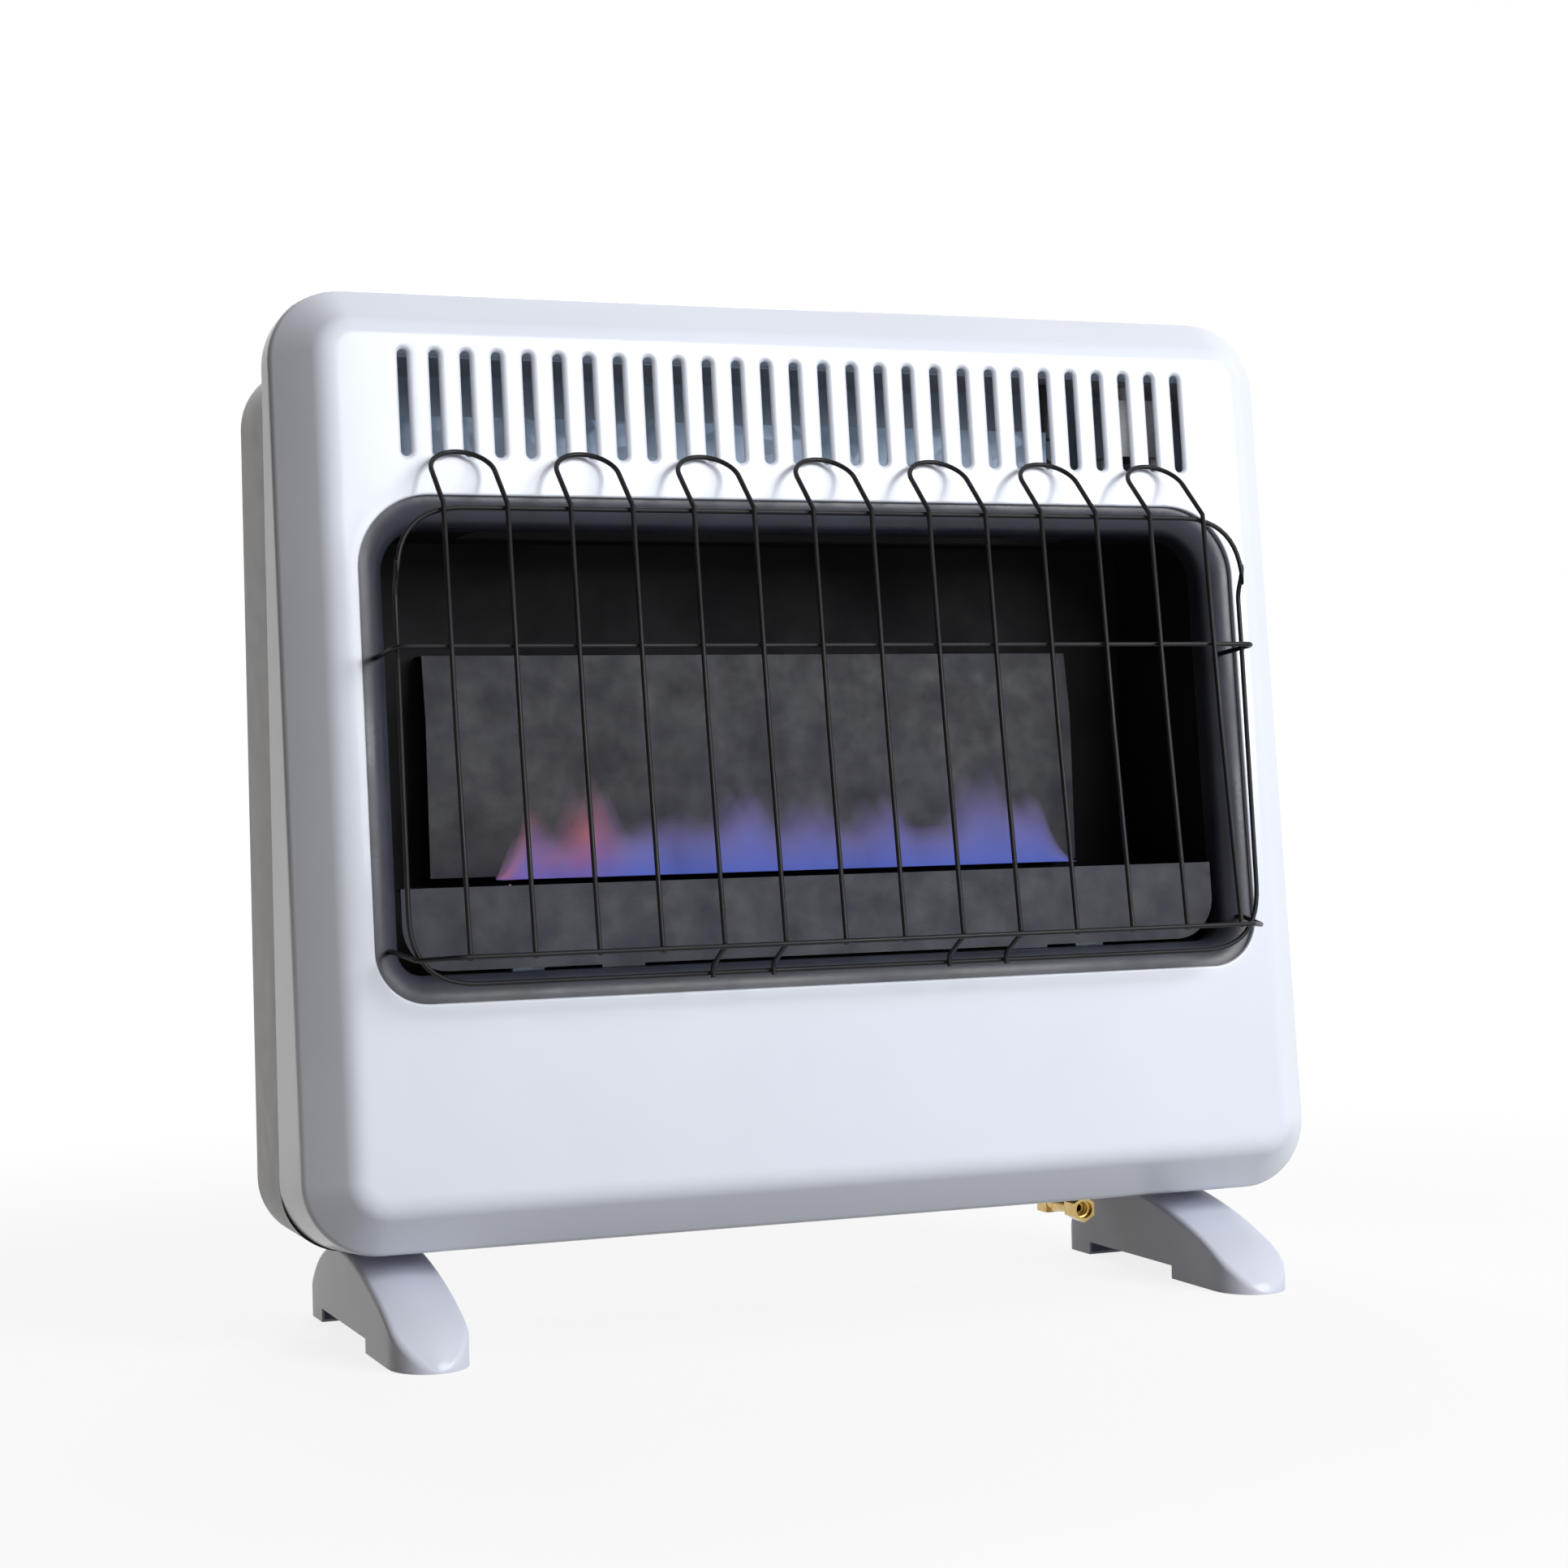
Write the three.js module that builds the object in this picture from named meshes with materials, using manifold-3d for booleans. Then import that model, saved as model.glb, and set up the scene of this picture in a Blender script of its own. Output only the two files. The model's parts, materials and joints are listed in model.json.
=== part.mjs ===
// A vent-free blue flame heater: a leaning enamelled front with a slotted grille and a window, an upright
// rear cabinet on two feet, a wire guard, a firebox with burner and reflector, and the gas controls on the
// right. Millimetres, +Z up. The front faces -Y and X runs to the right as seen from the front. Pieces that
// lean with the front panel are placed in its own frame: x, the depth behind its face, and the slope upwards.
import * as THREE from 'three';
import { mergeVertices } from 'three/addons/utils/BufferGeometryUtils.js';
import Module from 'manifold-3d';

const wasm = await Module();
wasm.setup();

// General
const clearance = 0.3;
const overrun = 5;
const sheet = 1.2;
const leanDegrees = 5.1;
const lean = THREE.MathUtils.degToRad(leanDegrees);
const cornerSteps = 5;

// Front panel
const panelWidth = 740;
const panelHalf = panelWidth / 2;
const panelSlope = 637;
const panelCorner = 50;
const bevelWidth = 29;
const bevelDepth = 31.5;
const creaseRun = 4;
const faceBendRun = 9;
const faceMargin = 12;
const junctionDepth = 106;

// Grille
const slotCount = 28;
const slotMargin = 82.45;
const slotPitch = (panelWidth - 2 * slotMargin) / (slotCount - 1);
const slotWidth = 6.5;
const slotLow = 519.2;
const slotHigh = 590.4;
const slotRim = 2.8;
const slotDish = 2.6;
const slotEndSteps = 3;

// Window
const windowMargin = 46.8;
const windowHalf = panelHalf - windowMargin;
const windowLow = 160.3;
const windowHigh = 493.2;
const windowCorner = 35;
const windowTopCorner = 50;
const windowLip = 4;
const windowBendRun = 1.6;

// Surround behind the window: how far it draws in, and where its surface lies
const surroundOverlap = 11;
const surroundInset = 19;
const surroundDepth = 31;
const surroundRoundShares = [[0.1, 0], [0.5, 0.12], [0.8, 0.26], [0.95, 0.42], [1, 0.6], [1, 1]];

// Rear cabinet
const cabinetDepth = 81;
const cabinetBack = junctionDepth + cabinetDepth;
const cabinetTop = 592;
const cabinetCorner = 44;
const cabinetBackBend = 5;
const seamStep = 0.6;
const intakeCount = 9;
const intakeLength = 34;
const intakeWidth = 5;
const intakePitch = 44;
const intakeSetback = 35;
const intakeY = cabinetBack - intakeSetback;
const intakeLand = 4;
const keyholeSpread = 200;
const keyholeHeight = 530;
const keyholeHead = 6;
const keyholeNeck = 3;
const keyholeRise = 14;
const keyholeSteps = 2;

// Feet
const standHeight = 69.7;
const footInset = 71;
const footSpread = panelHalf - footInset;
const footWidth = 52;
const footToe = -30;
const heelReach = 45;
const footHeel = cabinetBack + heelReach;
const footWall = 2.4;
const footFloor = 3;
const footTopStart = 9;
const footTopFront = junctionDepth + footTopStart;
const footTopSetback = 29;
const footTopRear = cabinetBack - footTopSetback;
const footNotchFront = 62;
const footNotchReach = 4;
const footNotchRear = cabinetBack + footNotchReach;
const footNotchHeight = 9.5;
const footToeRound = 30;
const footHeelRound = 12;
const footSteps = 7;
const footFrontShares = [[0.31, 0.08], [0.972, 0.475]];
const footRearShares = [[0.567, 0.12], [0.973, 0.5]];

// Wire guard
const wireRadius = 2;
const wireSides = 6;
const railSides = 6;
const loopCount = 7;
const uprightPitch = 2 * slotPitch;
const bottomRailHeight = 187;
const uprightTail = 2;
const uprightFoot = bottomRailHeight - uprightTail;
const uprightFootStandoff = 60;
const uprightMiddle = 330;
const uprightMiddleStandoff = 51;
const uprightHead = 479;
const uprightHeadStandoff = 45;
const loopTop = 521;
const loopTopStandoff = 5;
const loopSteps = 8;
const longLoops = [2, 4];
const longLegTail = 3;
const railWeld = 2 * wireRadius + clearance;
const bottomRailElbowStandoff = 38;
const middleRailHeight = 386.3;
const railHoleInset = 10.7;
const railHole = windowHalf - railHoleInset;
const bottomRailDraw = 28.5;
const bottomRailHalf = railHole - bottomRailDraw;
const elbowDraw = 6.5;
const bottomRailElbow = railHole - elbowDraw;
const railHoleRise = 8;
const railHoleHeight = bottomRailHeight + railHoleRise;
const railInsertion = 18;
const railBendRun = 10;
const ringHalf = railHole - railWeld;
const ringLow = 171;
const ringLowStandoff = 30;
const ringSideStandoff = 33;
const ringHigh = 477;
const ringLowCorner = 45;
const ringTopCorner = 46;
const ringJoggleLow = 424;
const ringJoggleHigh = 438;
const ringJoggleRun = 5;

// Firebox
const fireboxFront = 23;
const fireboxCorner = 16;
const fireboxHalf = windowHalf - surroundInset + sheet + clearance;
const outletInset = 76;
const outletHalf = fireboxHalf - outletInset;
const outletFront = 96;
const outletSetback = 37;
const outletRear = cabinetBack - outletSetback;
const passageFront = 96;
const passageSetback = 11;
const passageRear = cabinetBack - passageSetback;
const passageRise = 2;
const passageHeight = 24;

// Burner shield
const shieldDepth = 19.4;
const shieldInset = 4.2;
const shieldHalf = windowHalf - surroundInset - shieldInset;
const shieldLow = 181.5;
const shieldHigh = 236;
const shieldCorner = 30;
const shieldFold = 9;
const shieldTabInset = 150;
const shieldTabSpread = shieldHalf - shieldTabInset;
const shieldTabWidth = 30;

// Reflector, as depth and slope in the panel's frame
const reflectorInset = 55.7;
const reflectorHalf = fireboxHalf - reflectorInset;
const reflectorLow = 249.4;
const reflectorCrease = 358;
const reflectorHigh = 405;
const reflectorLowDepth = 133;
const reflectorCreaseDepth = 127;
const reflectorHighDepth = 131;

// Heat deflector
const deflectorInset = 30;
const deflectorGap = 14;
const deflectorFlangeLow = 500;
const deflectorFlangeHigh = 514;
const deflectorStart = 6;
const deflectorFront = junctionDepth + deflectorStart;
const deflectorFrontHeight = 552;
const deflectorSkirt = 37;

// Burner
const burnerEndRoom = 8;
const burnerY = 72;
const burnerZ = 214;
const burnerWidth = 46;
const burnerHeight = 34;
const burnerWall = 1.5;
const burnerEndSteps = 6;
const portCount = 20;
const portMargin = 34;
const portWidth = 2.4;
const portLength = 11;
const bracketInset = 47;
const bracketWidth = 22;
const bracketFoot = 16;
const bracketShelf = 30;
const venturiLength = 26;
const venturiThroat = 9;
const venturiBell = 13;
const venturiWall = 1.5;
const orificeGap = 2;
const orificeHex = 9;
const orificeLength = 13;
const orificeBoss = 7;
const orificeBossLength = 8;
const burnerHalf = fireboxHalf - burnerEndRoom - orificeLength - orificeGap - venturiLength;
const portPitch = 2 * (burnerHalf - portMargin) / (portCount - 1);
const bracketSpread = burnerHalf - bracketInset;

// Pilot at the left end of the burner
const pilotInset = 66;
const pilotX = pilotInset - burnerHalf;
const pilotY = 112;
const pilotTop = 226;
const pilotPlateHalf = 22;
const pilotPlateFoot = 14;
const pilotBurnerRadius = 6;
const pilotBurnerLength = 30;
const pilotHoodRadius = 8;
const pilotHoodHeight = 9;
const probeRadius = 2.5;
const probeLength = 40;
const probeCollar = 4;
const probeRim = 1.4;
const electrodeRadius = 3;
const electrodeTip = 1;
const pilotSpacing = 15;
const pilotHole = 0.4;

// Pipes
const tubeSides = 6;
const pipeSides = 6;
const supplyRadius = 4.5;
const burnerPipeRadius = 4;
const pilotTubeRadius = 2.2;
const leadRadius = 1.6;
const pipeBend = 16;
const tubeBend = 9;
const leadBend = 4;
const bendSteps = 3;
const supplyInset = 20;
const supplyX = panelHalf - supplyInset;
const supplySetback = 27;
const supplyY = cabinetBack - supplySetback;
const burnerPipeInset = 36;
const burnerPipeX = panelHalf - burnerPipeInset;
const burnerPipeSetback = 59;
const burnerPipeY = cabinetBack - burnerPipeSetback;
const tubeInset = 45;
const tubeBayX = panelHalf - tubeInset;
const leadInset = 51;
const leadBayX = panelHalf - leadInset;
const tubeSetback = 37;
const tubeRunY = cabinetBack - tubeSetback;
const leadSetback = 19;
const leadRunY = cabinetBack - leadSetback;
const runRise = 5;
const leadRise = 11;
const entryHole = 6;

// Controls at the right of the deck
const controlInset = 74;
const controlX = panelHalf - controlInset;
const controlSetback = 45;
const controlY = cabinetBack - controlSetback;
const valveWidth = 56;
const valveDepth = 46;
const valveHeight = 42;
const valveNeck = 11;
const valveNeckHeight = 12;
const valveBevel = 3;
const valvePort = 8;
const valvePortHeight = 8;
const stemRadius = 4;
const stemRun = 0.35;
const stemTravel = 5;
const stemBelow = 14;
const stemAbove = 19;
const stemSump = 1;
const knobRadius = 22;
const knobHeight = 12;
const knobRise = 9;
const knobDraft = 2;
const knobSkirt = 4;
const knobGripWidth = 9;
const knobGripHeight = 9;
const knobGripShare = 0.92;
const knobSteps = 24;
const knobGripSteps = 3;
const igniterPitch = 70;
const igniterX = controlX - igniterPitch;
const igniterRadius = 9;
const igniterLength = 40;
const igniterNeck = 7.5;
const igniterNeckRise = 5;
const igniterBore = 5.4;
const igniterBoreDepth = 30;
const igniterNutRadius = 12;
const igniterNutHeight = 3.4;
const buttonCap = 8.5;
const buttonCapHeight = 5;
const buttonTravel = 7;
const buttonStop = 1.5;
const buttonReach = 14;
const roundSteps = 16;
const bezelLeft = 20;
const bezelRight = 36;
const bezelHalf = 26;
const bezelThickness = 1.5;
const bezelCorner = 6;
const holeAir = 0.5;

// Regulator and brass inlet
const inletInset = 150;
const inletX = panelHalf - inletInset;
const inletSetback = 37;
const inletY = cabinetBack - inletSetback;
const regulatorRadius = 25;
const regulatorHeight = 22;
const regulatorCap = 14;
const regulatorCapHeight = 12;
const regulatorBoss = 8;
const regulatorBossLength = 34;
const inletNipple = 7;
const elbowSize = 15;
const elbowDrop = 10.8;
const inletPipeRear = 7.2;
const inletPipeFront = 5;
const inletPipeBore = 3;
const inletPipeEnd = 106;
const inletNutFront = 95;
const inletNutLength = 16;
const inletNutRadius = 9.4;
const inletNutMouth = 6.4;

// Thermostat bulb on the cabinet's back wall
const bulbInset = 26;
const bulbX = panelHalf - bulbInset;
const bulbRadius = 4;
const bulbLow = 90;
const bulbLength = 76;
const bulbClipWidth = 14;
const bulbStandoff = 6;
const capillaryRadius = 1.2;

// Screws
const screwHead = 4.4;
const screwHeadHeight = 2.4;
const screwEdgeShare = 0.6;
const screwShank = 2;
const screwLength = 9;
const screwSides = 12;
const footScrewInset = 11;
const footScrewFront = footTopFront + footScrewInset;
const footScrewMargin = 8;
const footScrewRear = footTopRear - footScrewMargin;

// Finishes
function finish(color, roughness, metalness = 0) {
  return new THREE.MeshStandardMaterial({ color, roughness, metalness });
}
const whiteEnamel = finish('#eceef2', 0.25);
const cabinetEnamel = finish('#e2e3e6', 0.3);
const blackEnamel = finish('#24272c', 0.3);
const greyEnamel = finish('#5b6068', 0.5);
const blackWire = finish('#17181a', 0.35);
const footEnamel = finish('#dfe2ea', 0.35);
const steel = finish('#a9adb2', 0.4, 0.9);
const brass = finish('#b58a3c', 0.35, 0.9);
const castAlloy = finish('#b4b6b8', 0.55, 0.8);
const blackPlastic = finish('#1b1c1e', 0.45);
const ceramic = finish('#e9e4d8', 0.5);
const copper = finish('#b06a3e', 0.4, 0.9);

const heater = new THREE.Group();
const leaning = new THREE.Group();
leaning.rotation.x = -lean;
heater.add(leaning);

function addPiece(parent, name, geometry, material) {
  const mesh = new THREE.Mesh(geometry, material);
  mesh.name = name;
  parent.add(mesh);
  return mesh;
}

// Merges shared corners, drops flat triangles and turns the faces outwards.
function welded(geometry) {
  const bare = geometry.index ? geometry.clone() : geometry;
  bare.deleteAttribute('normal');
  bare.deleteAttribute('uv');
  const merged = mergeVertices(bare);
  const source = merged.index.array;
  const position = merged.getAttribute('position');
  const index = [];
  const [a, b, c] = [new THREE.Vector3(), new THREE.Vector3(), new THREE.Vector3()];
  let volume = 0;
  for (let i = 0; i < source.length; i += 3) {
    const [p, q, r] = [source[i], source[i + 1], source[i + 2]];
    if (p === q || q === r || r === p) continue;
    index.push(p, q, r);
    a.fromBufferAttribute(position, p);
    b.fromBufferAttribute(position, q);
    c.fromBufferAttribute(position, r);
    volume += a.dot(b.cross(c));
  }
  merged.setIndex(volume < 0 ? index.reverse() : index);
  return merged;
}

function solid(geometry) {
  const clean = welded(geometry);
  const vertProperties = Float32Array.from(clean.getAttribute('position').array);
  const triVerts = Uint32Array.from(clean.index.array);
  return new wasm.Manifold(new wasm.Mesh({ numProp: 3, vertProperties, triVerts }));
}

function geometryOf(manifold) {
  const mesh = manifold.getMesh();
  const geometry = new THREE.BufferGeometry();
  geometry.setAttribute('position', new THREE.BufferAttribute(mesh.vertProperties, mesh.numProp));
  geometry.setIndex(new THREE.BufferAttribute(mesh.triVerts, 1));
  return geometry;
}

function cut(geometry, cutters) {
  return geometryOf(cutters.reduce((left, cutter) => left.subtract(solid(cutter)), solid(geometry)));
}

function join(geometry, others) {
  return geometryOf(others.reduce((whole, other) => whole.add(solid(other)), solid(geometry)));
}

// Joins rings with equal counts of points into one skin. An open run is closed by a fan at each end.
function loft(rings, closed = false) {
  const count = rings[0].length;
  const index = [];
  const spans = closed ? rings.length : rings.length - 1;
  for (let ring = 0; ring < spans; ring += 1) {
    const here = ring * count;
    const next = ((ring + 1) % rings.length) * count;
    for (let i = 0; i < count; i += 1) {
      const j = (i + 1) % count;
      index.push(here + i, here + j, next + j, here + i, next + j, next + i);
    }
  }
  if (!closed) {
    const last = (rings.length - 1) * count;
    for (let i = 1; i < count - 1; i += 1) {
      index.push(0, i + 1, i, last, last + i, last + i + 1);
    }
  }
  const geometry = new THREE.BufferGeometry();
  const points = rings.flat().flatMap((point) => point.toArray());
  geometry.setAttribute('position', new THREE.Float32BufferAttribute(points, 3));
  geometry.setIndex(index);
  return welded(geometry);
}

// A rectangle with round corners, as points from place(across, up), the same count for every size.
function roundedRing(half, low, high, corner, place, topCorner = corner) {
  const centres = [[half - topCorner, high - topCorner], [topCorner - half, high - topCorner],
    [corner - half, low + corner], [half - corner, low + corner]];
  return centres.flatMap(([across, up], quarter) => {
    const radius = quarter < 2 ? topCorner : corner;
    const arc = [];
    for (let step = 0; step <= cornerSteps; step += 1) {
      const angle = (quarter + step / cornerSteps) * (Math.PI / 2);
      arc.push(place(across + radius * Math.cos(angle), up + radius * Math.sin(angle)));
    }
    return arc;
  });
}

// Replaces each corner of a run of points that has a bend run by a smooth curve.
function roundCorners(points, runs, steps, closed = false) {
  const count = points.length;
  return points.flatMap((corner, i) => {
    if (!runs[i] || (!closed && (i === 0 || i === count - 1))) return [corner.clone()];
    const before = points[(i - 1 + count) % count].clone().sub(corner).setLength(runs[i]).add(corner);
    const after = points[(i + 1) % count].clone().sub(corner).setLength(runs[i]).add(corner);
    const bend = [];
    for (let step = 0; step <= steps; step += 1) {
      const share = step / steps;
      const start = before.clone().lerp(corner, share);
      bend.push(start.lerp(corner.clone().lerp(after, share), share));
    }
    return bend;
  });
}

// The same run of 2-D points, moved sideways by a distance with mitred corners. Positive is to the left.
function offsetLine(points, distance) {
  return points.map((point, i) => {
    const before = points[Math.max(i - 1, 0)];
    const after = points[Math.min(i + 1, points.length - 1)];
    const into = point.clone().sub(before).normalize();
    const out = after.clone().sub(point).normalize();
    if (i === 0) into.copy(out);
    if (i === points.length - 1) out.copy(into);
    const normal = new THREE.Vector2(-into.y - out.y, into.x + out.x).normalize();
    const square = new THREE.Vector2(-into.y, into.x);
    return normal.multiplyScalar(distance / normal.dot(square)).add(point);
  });
}

function pairs(list) {
  return list.map(([first, second]) => new THREE.Vector2(first, second));
}

function extrude(shape, length, steps = cornerSteps) {
  return new THREE.ExtrudeGeometry(shape, { depth: length, bevelEnabled: false, curveSegments: steps });
}

// A shape drawn in y and z, run along x from one place to another.
function alongX(shape, from, to, steps = cornerSteps) {
  const turn = new THREE.Matrix4().makeBasis(
    new THREE.Vector3(0, 1, 0), new THREE.Vector3(0, 0, 1), new THREE.Vector3(1, 0, 0));
  return extrude(shape, to - from, steps).applyMatrix4(turn).translate(from, 0, 0);
}

// A shape drawn in x and z, run along y from one place to another.
function alongY(shape, from, to, steps = cornerSteps) {
  const turn = new THREE.Matrix4().makeBasis(
    new THREE.Vector3(1, 0, 0), new THREE.Vector3(0, 0, 1), new THREE.Vector3(0, -1, 0));
  return extrude(shape, to - from, steps).applyMatrix4(turn).translate(0, to, 0);
}

// A shape drawn in x and y, run up from one height to another.
function alongZ(shape, from, to, steps = cornerSteps) {
  return extrude(shape, to - from, steps).translate(0, 0, from);
}

function box(x0, x1, y0, y1, z0, z1) {
  const centre = [(x0 + x1) / 2, (y0 + y1) / 2, (z0 + z1) / 2];
  return new THREE.BoxGeometry(x1 - x0, y1 - y0, z1 - z0).translate(...centre);
}

// A round hole as a polygon whose flats lie at the radius, so a round pin clears it all round.
function hole(x, y, radius, sides = 12) {
  const outer = radius / Math.cos(Math.PI / sides);
  return new THREE.Shape(Array.from({ length: sides }, (_, side) => {
    const angle = ((side + 0.5) / sides) * 2 * Math.PI;
    return new THREE.Vector2(x + outer * Math.cos(angle), y + outer * Math.sin(angle));
  }));
}

function rounded(x0, y0, x1, y1, radius) {
  const shape = new THREE.Shape();
  shape.absarc(x1 - radius, y1 - radius, radius, 0, Math.PI / 2, false);
  shape.absarc(x0 + radius, y1 - radius, radius, Math.PI / 2, Math.PI, false);
  shape.absarc(x0 + radius, y0 + radius, radius, Math.PI, 1.5 * Math.PI, false);
  shape.absarc(x1 - radius, y0 + radius, radius, 1.5 * Math.PI, 2 * Math.PI, false);
  return shape;
}

// The section of a sheet bent along a run of points, its thickness to the left of the run.
function bentSheet(points, thickness) {
  return new THREE.Shape([...points, ...offsetLine(points, thickness).reverse()]);
}

// A revolved profile of radius and height pairs, standing on x, y, z.
function turned(profile, x, y, z, steps = roundSteps) {
  return new THREE.LatheGeometry(pairs(profile), steps).rotateX(Math.PI / 2).translate(x, y, z);
}

// A revolved profile lying along X, with the pairs' heights running to +X.
function turnedAlongX(profile, x, y, z, steps = roundSteps) {
  return new THREE.LatheGeometry(pairs(profile), steps).rotateZ(-Math.PI / 2).translate(x, y, z);
}

// A revolved profile lying along Y, with the pairs' heights running to +Y.
function turnedAlongY(profile, x, y, z, steps = roundSteps) {
  return new THREE.LatheGeometry(pairs(profile), steps).translate(x, y, z);
}

function rod(radius, length) {
  return [[0, 0], [radius, 0], [radius, length], [0, length]];
}

// A path whose even steps fall on its own stations, so a tube bends just where the stations say.
class StationPath extends THREE.Curve {
  constructor(stations) {
    super();
    this.stations = stations;
  }

  getPoint(share, target = new THREE.Vector3()) {
    const place = share * (this.stations.length - 1);
    const index = Math.min(Math.floor(place), this.stations.length - 2);
    return target.lerpVectors(this.stations[index], this.stations[index + 1], place - index);
  }

  getPointAt(share, target) {
    return this.getPoint(share, target);
  }

  getTangentAt(share, target = new THREE.Vector3()) {
    const index = Math.round(share * (this.stations.length - 1));
    const here = this.stations[index];
    const before = this.stations[Math.max(index - 1, 0)];
    const after = this.stations[Math.min(index + 1, this.stations.length - 1)];
    const into = here.clone().sub(before).normalize();
    const out = after.clone().sub(here).normalize();
    return target.copy(into).add(out).normalize();
  }
}

function tube(stations, radius, sides) {
  const shape = new THREE.Shape();
  for (let side = 0; side < sides; side += 1) {
    const angle = (side / sides) * 2 * Math.PI;
    shape[side ? 'lineTo' : 'moveTo'](radius * Math.cos(angle), radius * Math.sin(angle));
  }
  return new THREE.ExtrudeGeometry(shape, {
    steps: stations.length - 1, extrudePath: new StationPath(stations),
  });
}

// A tube along a closed run that lies roughly flat across the given axis.
function ringTube(stations, radius, sides, axis) {
  const count = stations.length;
  const rings = stations.map((station, i) => {
    const tangent = stations[(i + 1) % count].clone().sub(stations[(i - 1 + count) % count]).normalize();
    const inward = axis.clone().addScaledVector(tangent, -axis.dot(tangent)).normalize();
    const sideways = tangent.clone().cross(inward);
    return Array.from({ length: sides }, (_, side) => {
      const angle = (side / sides) * 2 * Math.PI;
      return station.clone().addScaledVector(inward, radius * Math.cos(angle))
        .addScaledVector(sideways, radius * Math.sin(angle));
    });
  });
  return loft(rings, true);
}

function point(x, y, z) {
  return new THREE.Vector3(x, y, z);
}

// A point given in the panel's frame, in the upright frame.
function leant(x, depth, slope) {
  return point(x, slope * Math.sin(lean) + depth * Math.cos(lean),
    slope * Math.cos(lean) - depth * Math.sin(lean));
}

// The depth behind the face, in the panel's frame, of an upright plane across y.
function depthOfPlane(y, slope) {
  return (y - slope * Math.sin(lean)) / Math.cos(lean);
}

// The place up the slope of a point at a height and a depth behind the face.
function slopeOfHeight(z, depth) {
  return (z + depth * Math.sin(lean)) / Math.cos(lean);
}

function panelRing(inset, depth) {
  const corner = panelCorner - inset;
  return roundedRing(panelHalf - inset, inset, panelSlope - inset, corner,
    (x, slope) => point(x, depth, slope));
}

function panelRearRing(inset) {
  return roundedRing(panelHalf - inset, inset, panelSlope - inset, panelCorner - inset,
    (x, slope) => point(x, depthOfPlane(junctionDepth, slope), slope));
}

function windowRing(inset, depth) {
  return roundedRing(windowHalf - inset, windowLow + inset, windowHigh - inset, windowCorner - inset,
    (x, slope) => point(x, depth, slope), windowTopCorner - inset);
}

function slotRing(x, spread, depth) {
  const radius = slotWidth / 2 + spread;
  const ends = [[slotHigh - slotWidth / 2, 0], [slotLow + slotWidth / 2, Math.PI]];
  return ends.flatMap(([slope, start]) => Array.from({ length: slotEndSteps + 1 }, (_, step) => {
    const angle = start + (step / slotEndSteps) * Math.PI;
    return point(x + radius * Math.cos(angle), depth, slope + radius * Math.sin(angle));
  }));
}

// One slot's pressed rim: the metal that is drawn in, and the dished hole through it.
function slotRimSolid(x) {
  return loft([slotRing(x, slotRim + sheet / 2, sheet / 2), slotRing(x, sheet, slotDish + sheet / 2)]);
}

function slotCutter(x) {
  const dishShares = [[1.25, -0.25], [0.35, 0.3], [0, 1]];
  const rings = dishShares.map(([spread, depth]) => slotRing(x, spread * slotRim, depth * slotDish));
  return loft([...rings, slotRing(x, 0, slotDish + overrun)]);
}

function slotPlaces(count, pitch) {
  return Array.from({ length: count }, (_, i) => (i - (count - 1) / 2) * pitch);
}

function frontPanel() {
  const corners = pairs([[0, bevelDepth + creaseRun * 2], [0, bevelDepth], [bevelWidth, 0],
    [bevelWidth + faceMargin, 0]]);
  const skin = roundCorners(corners, [0, creaseRun, faceBendRun, 0], 3).slice(1);
  const inner = offsetLine(skin, sheet);
  const edge = pairs([[-windowBendRun * 2, 0], [0, 0], [0, windowLip]]);
  const lip = roundCorners(edge, [0, windowBendRun, 0], 2);
  const lipBack = offsetLine(lip, sheet);
  const rings = [
    panelRearRing(0),
    ...skin.map(({ x, y }) => panelRing(x, y)),
    ...lip.map(({ x, y }) => windowRing(x, y)),
    ...lipBack.reverse().map(({ x, y }) => windowRing(x, y)),
    ...inner.reverse().map(({ x, y }) => panelRing(x, y)),
    panelRearRing(sheet),
  ];
  const places = slotPlaces(slotCount, slotPitch);
  const rimmed = join(loft(rings, true), places.map(slotRimSolid));
  return cut(rimmed, places.map(slotCutter));
}

function surroundFront() {
  return windowLip + clearance;
}

function windowSurround() {
  const run = surroundDepth - surroundFront();
  const skin = pairs([[-surroundOverlap, surroundFront()],
    ...surroundRoundShares.map(([inset, depth]) => [inset * surroundInset, surroundFront() + depth * run])]);
  const back = offsetLine(skin, sheet);
  const rings = [...skin.map(({ x, y }) => windowRing(x, y)),
    ...back.reverse().map(({ x, y }) => windowRing(x, y))];
  const holes = [-railHole, railHole].flatMap((x) => [railHoleHeight, middleRailHeight].map((slope) => (
    alongY(hole(x, slope, wireRadius + clearance, railSides), 0, surroundDepth))));
  return cut(loft(rings, true), holes);
}

function cabinetLow() {
  return -junctionDepth * Math.tan(lean) + seamStep;
}

function cabinetRing(inset, y) {
  return roundedRing(panelHalf - seamStep - inset, cabinetLow() + inset, cabinetTop - inset,
    cabinetCorner - inset, (x, z) => point(x, y, z));
}

function cabinetFront() {
  return junctionDepth + clearance;
}

function keyhole(x) {
  const head = alongY(hole(x, keyholeHeight, keyholeHead), cabinetBack - overrun, cabinetBack + overrun);
  const [left, right] = [x - keyholeNeck, x + keyholeNeck];
  const neck = rounded(left, keyholeHeight, right, keyholeHeight + keyholeRise, keyholeNeck);
  return [head, alongY(neck, cabinetBack - overrun, cabinetBack + overrun, keyholeSteps)];
}

function floorHole(x, y, radius) {
  return alongZ(hole(x, y, radius), cabinetLow() - overrun, cabinetLow() + overrun);
}

function deckHole(x, y, radius) {
  return alongZ(hole(x, y, radius), cabinetTop - overrun, cabinetTop + overrun);
}

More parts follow.
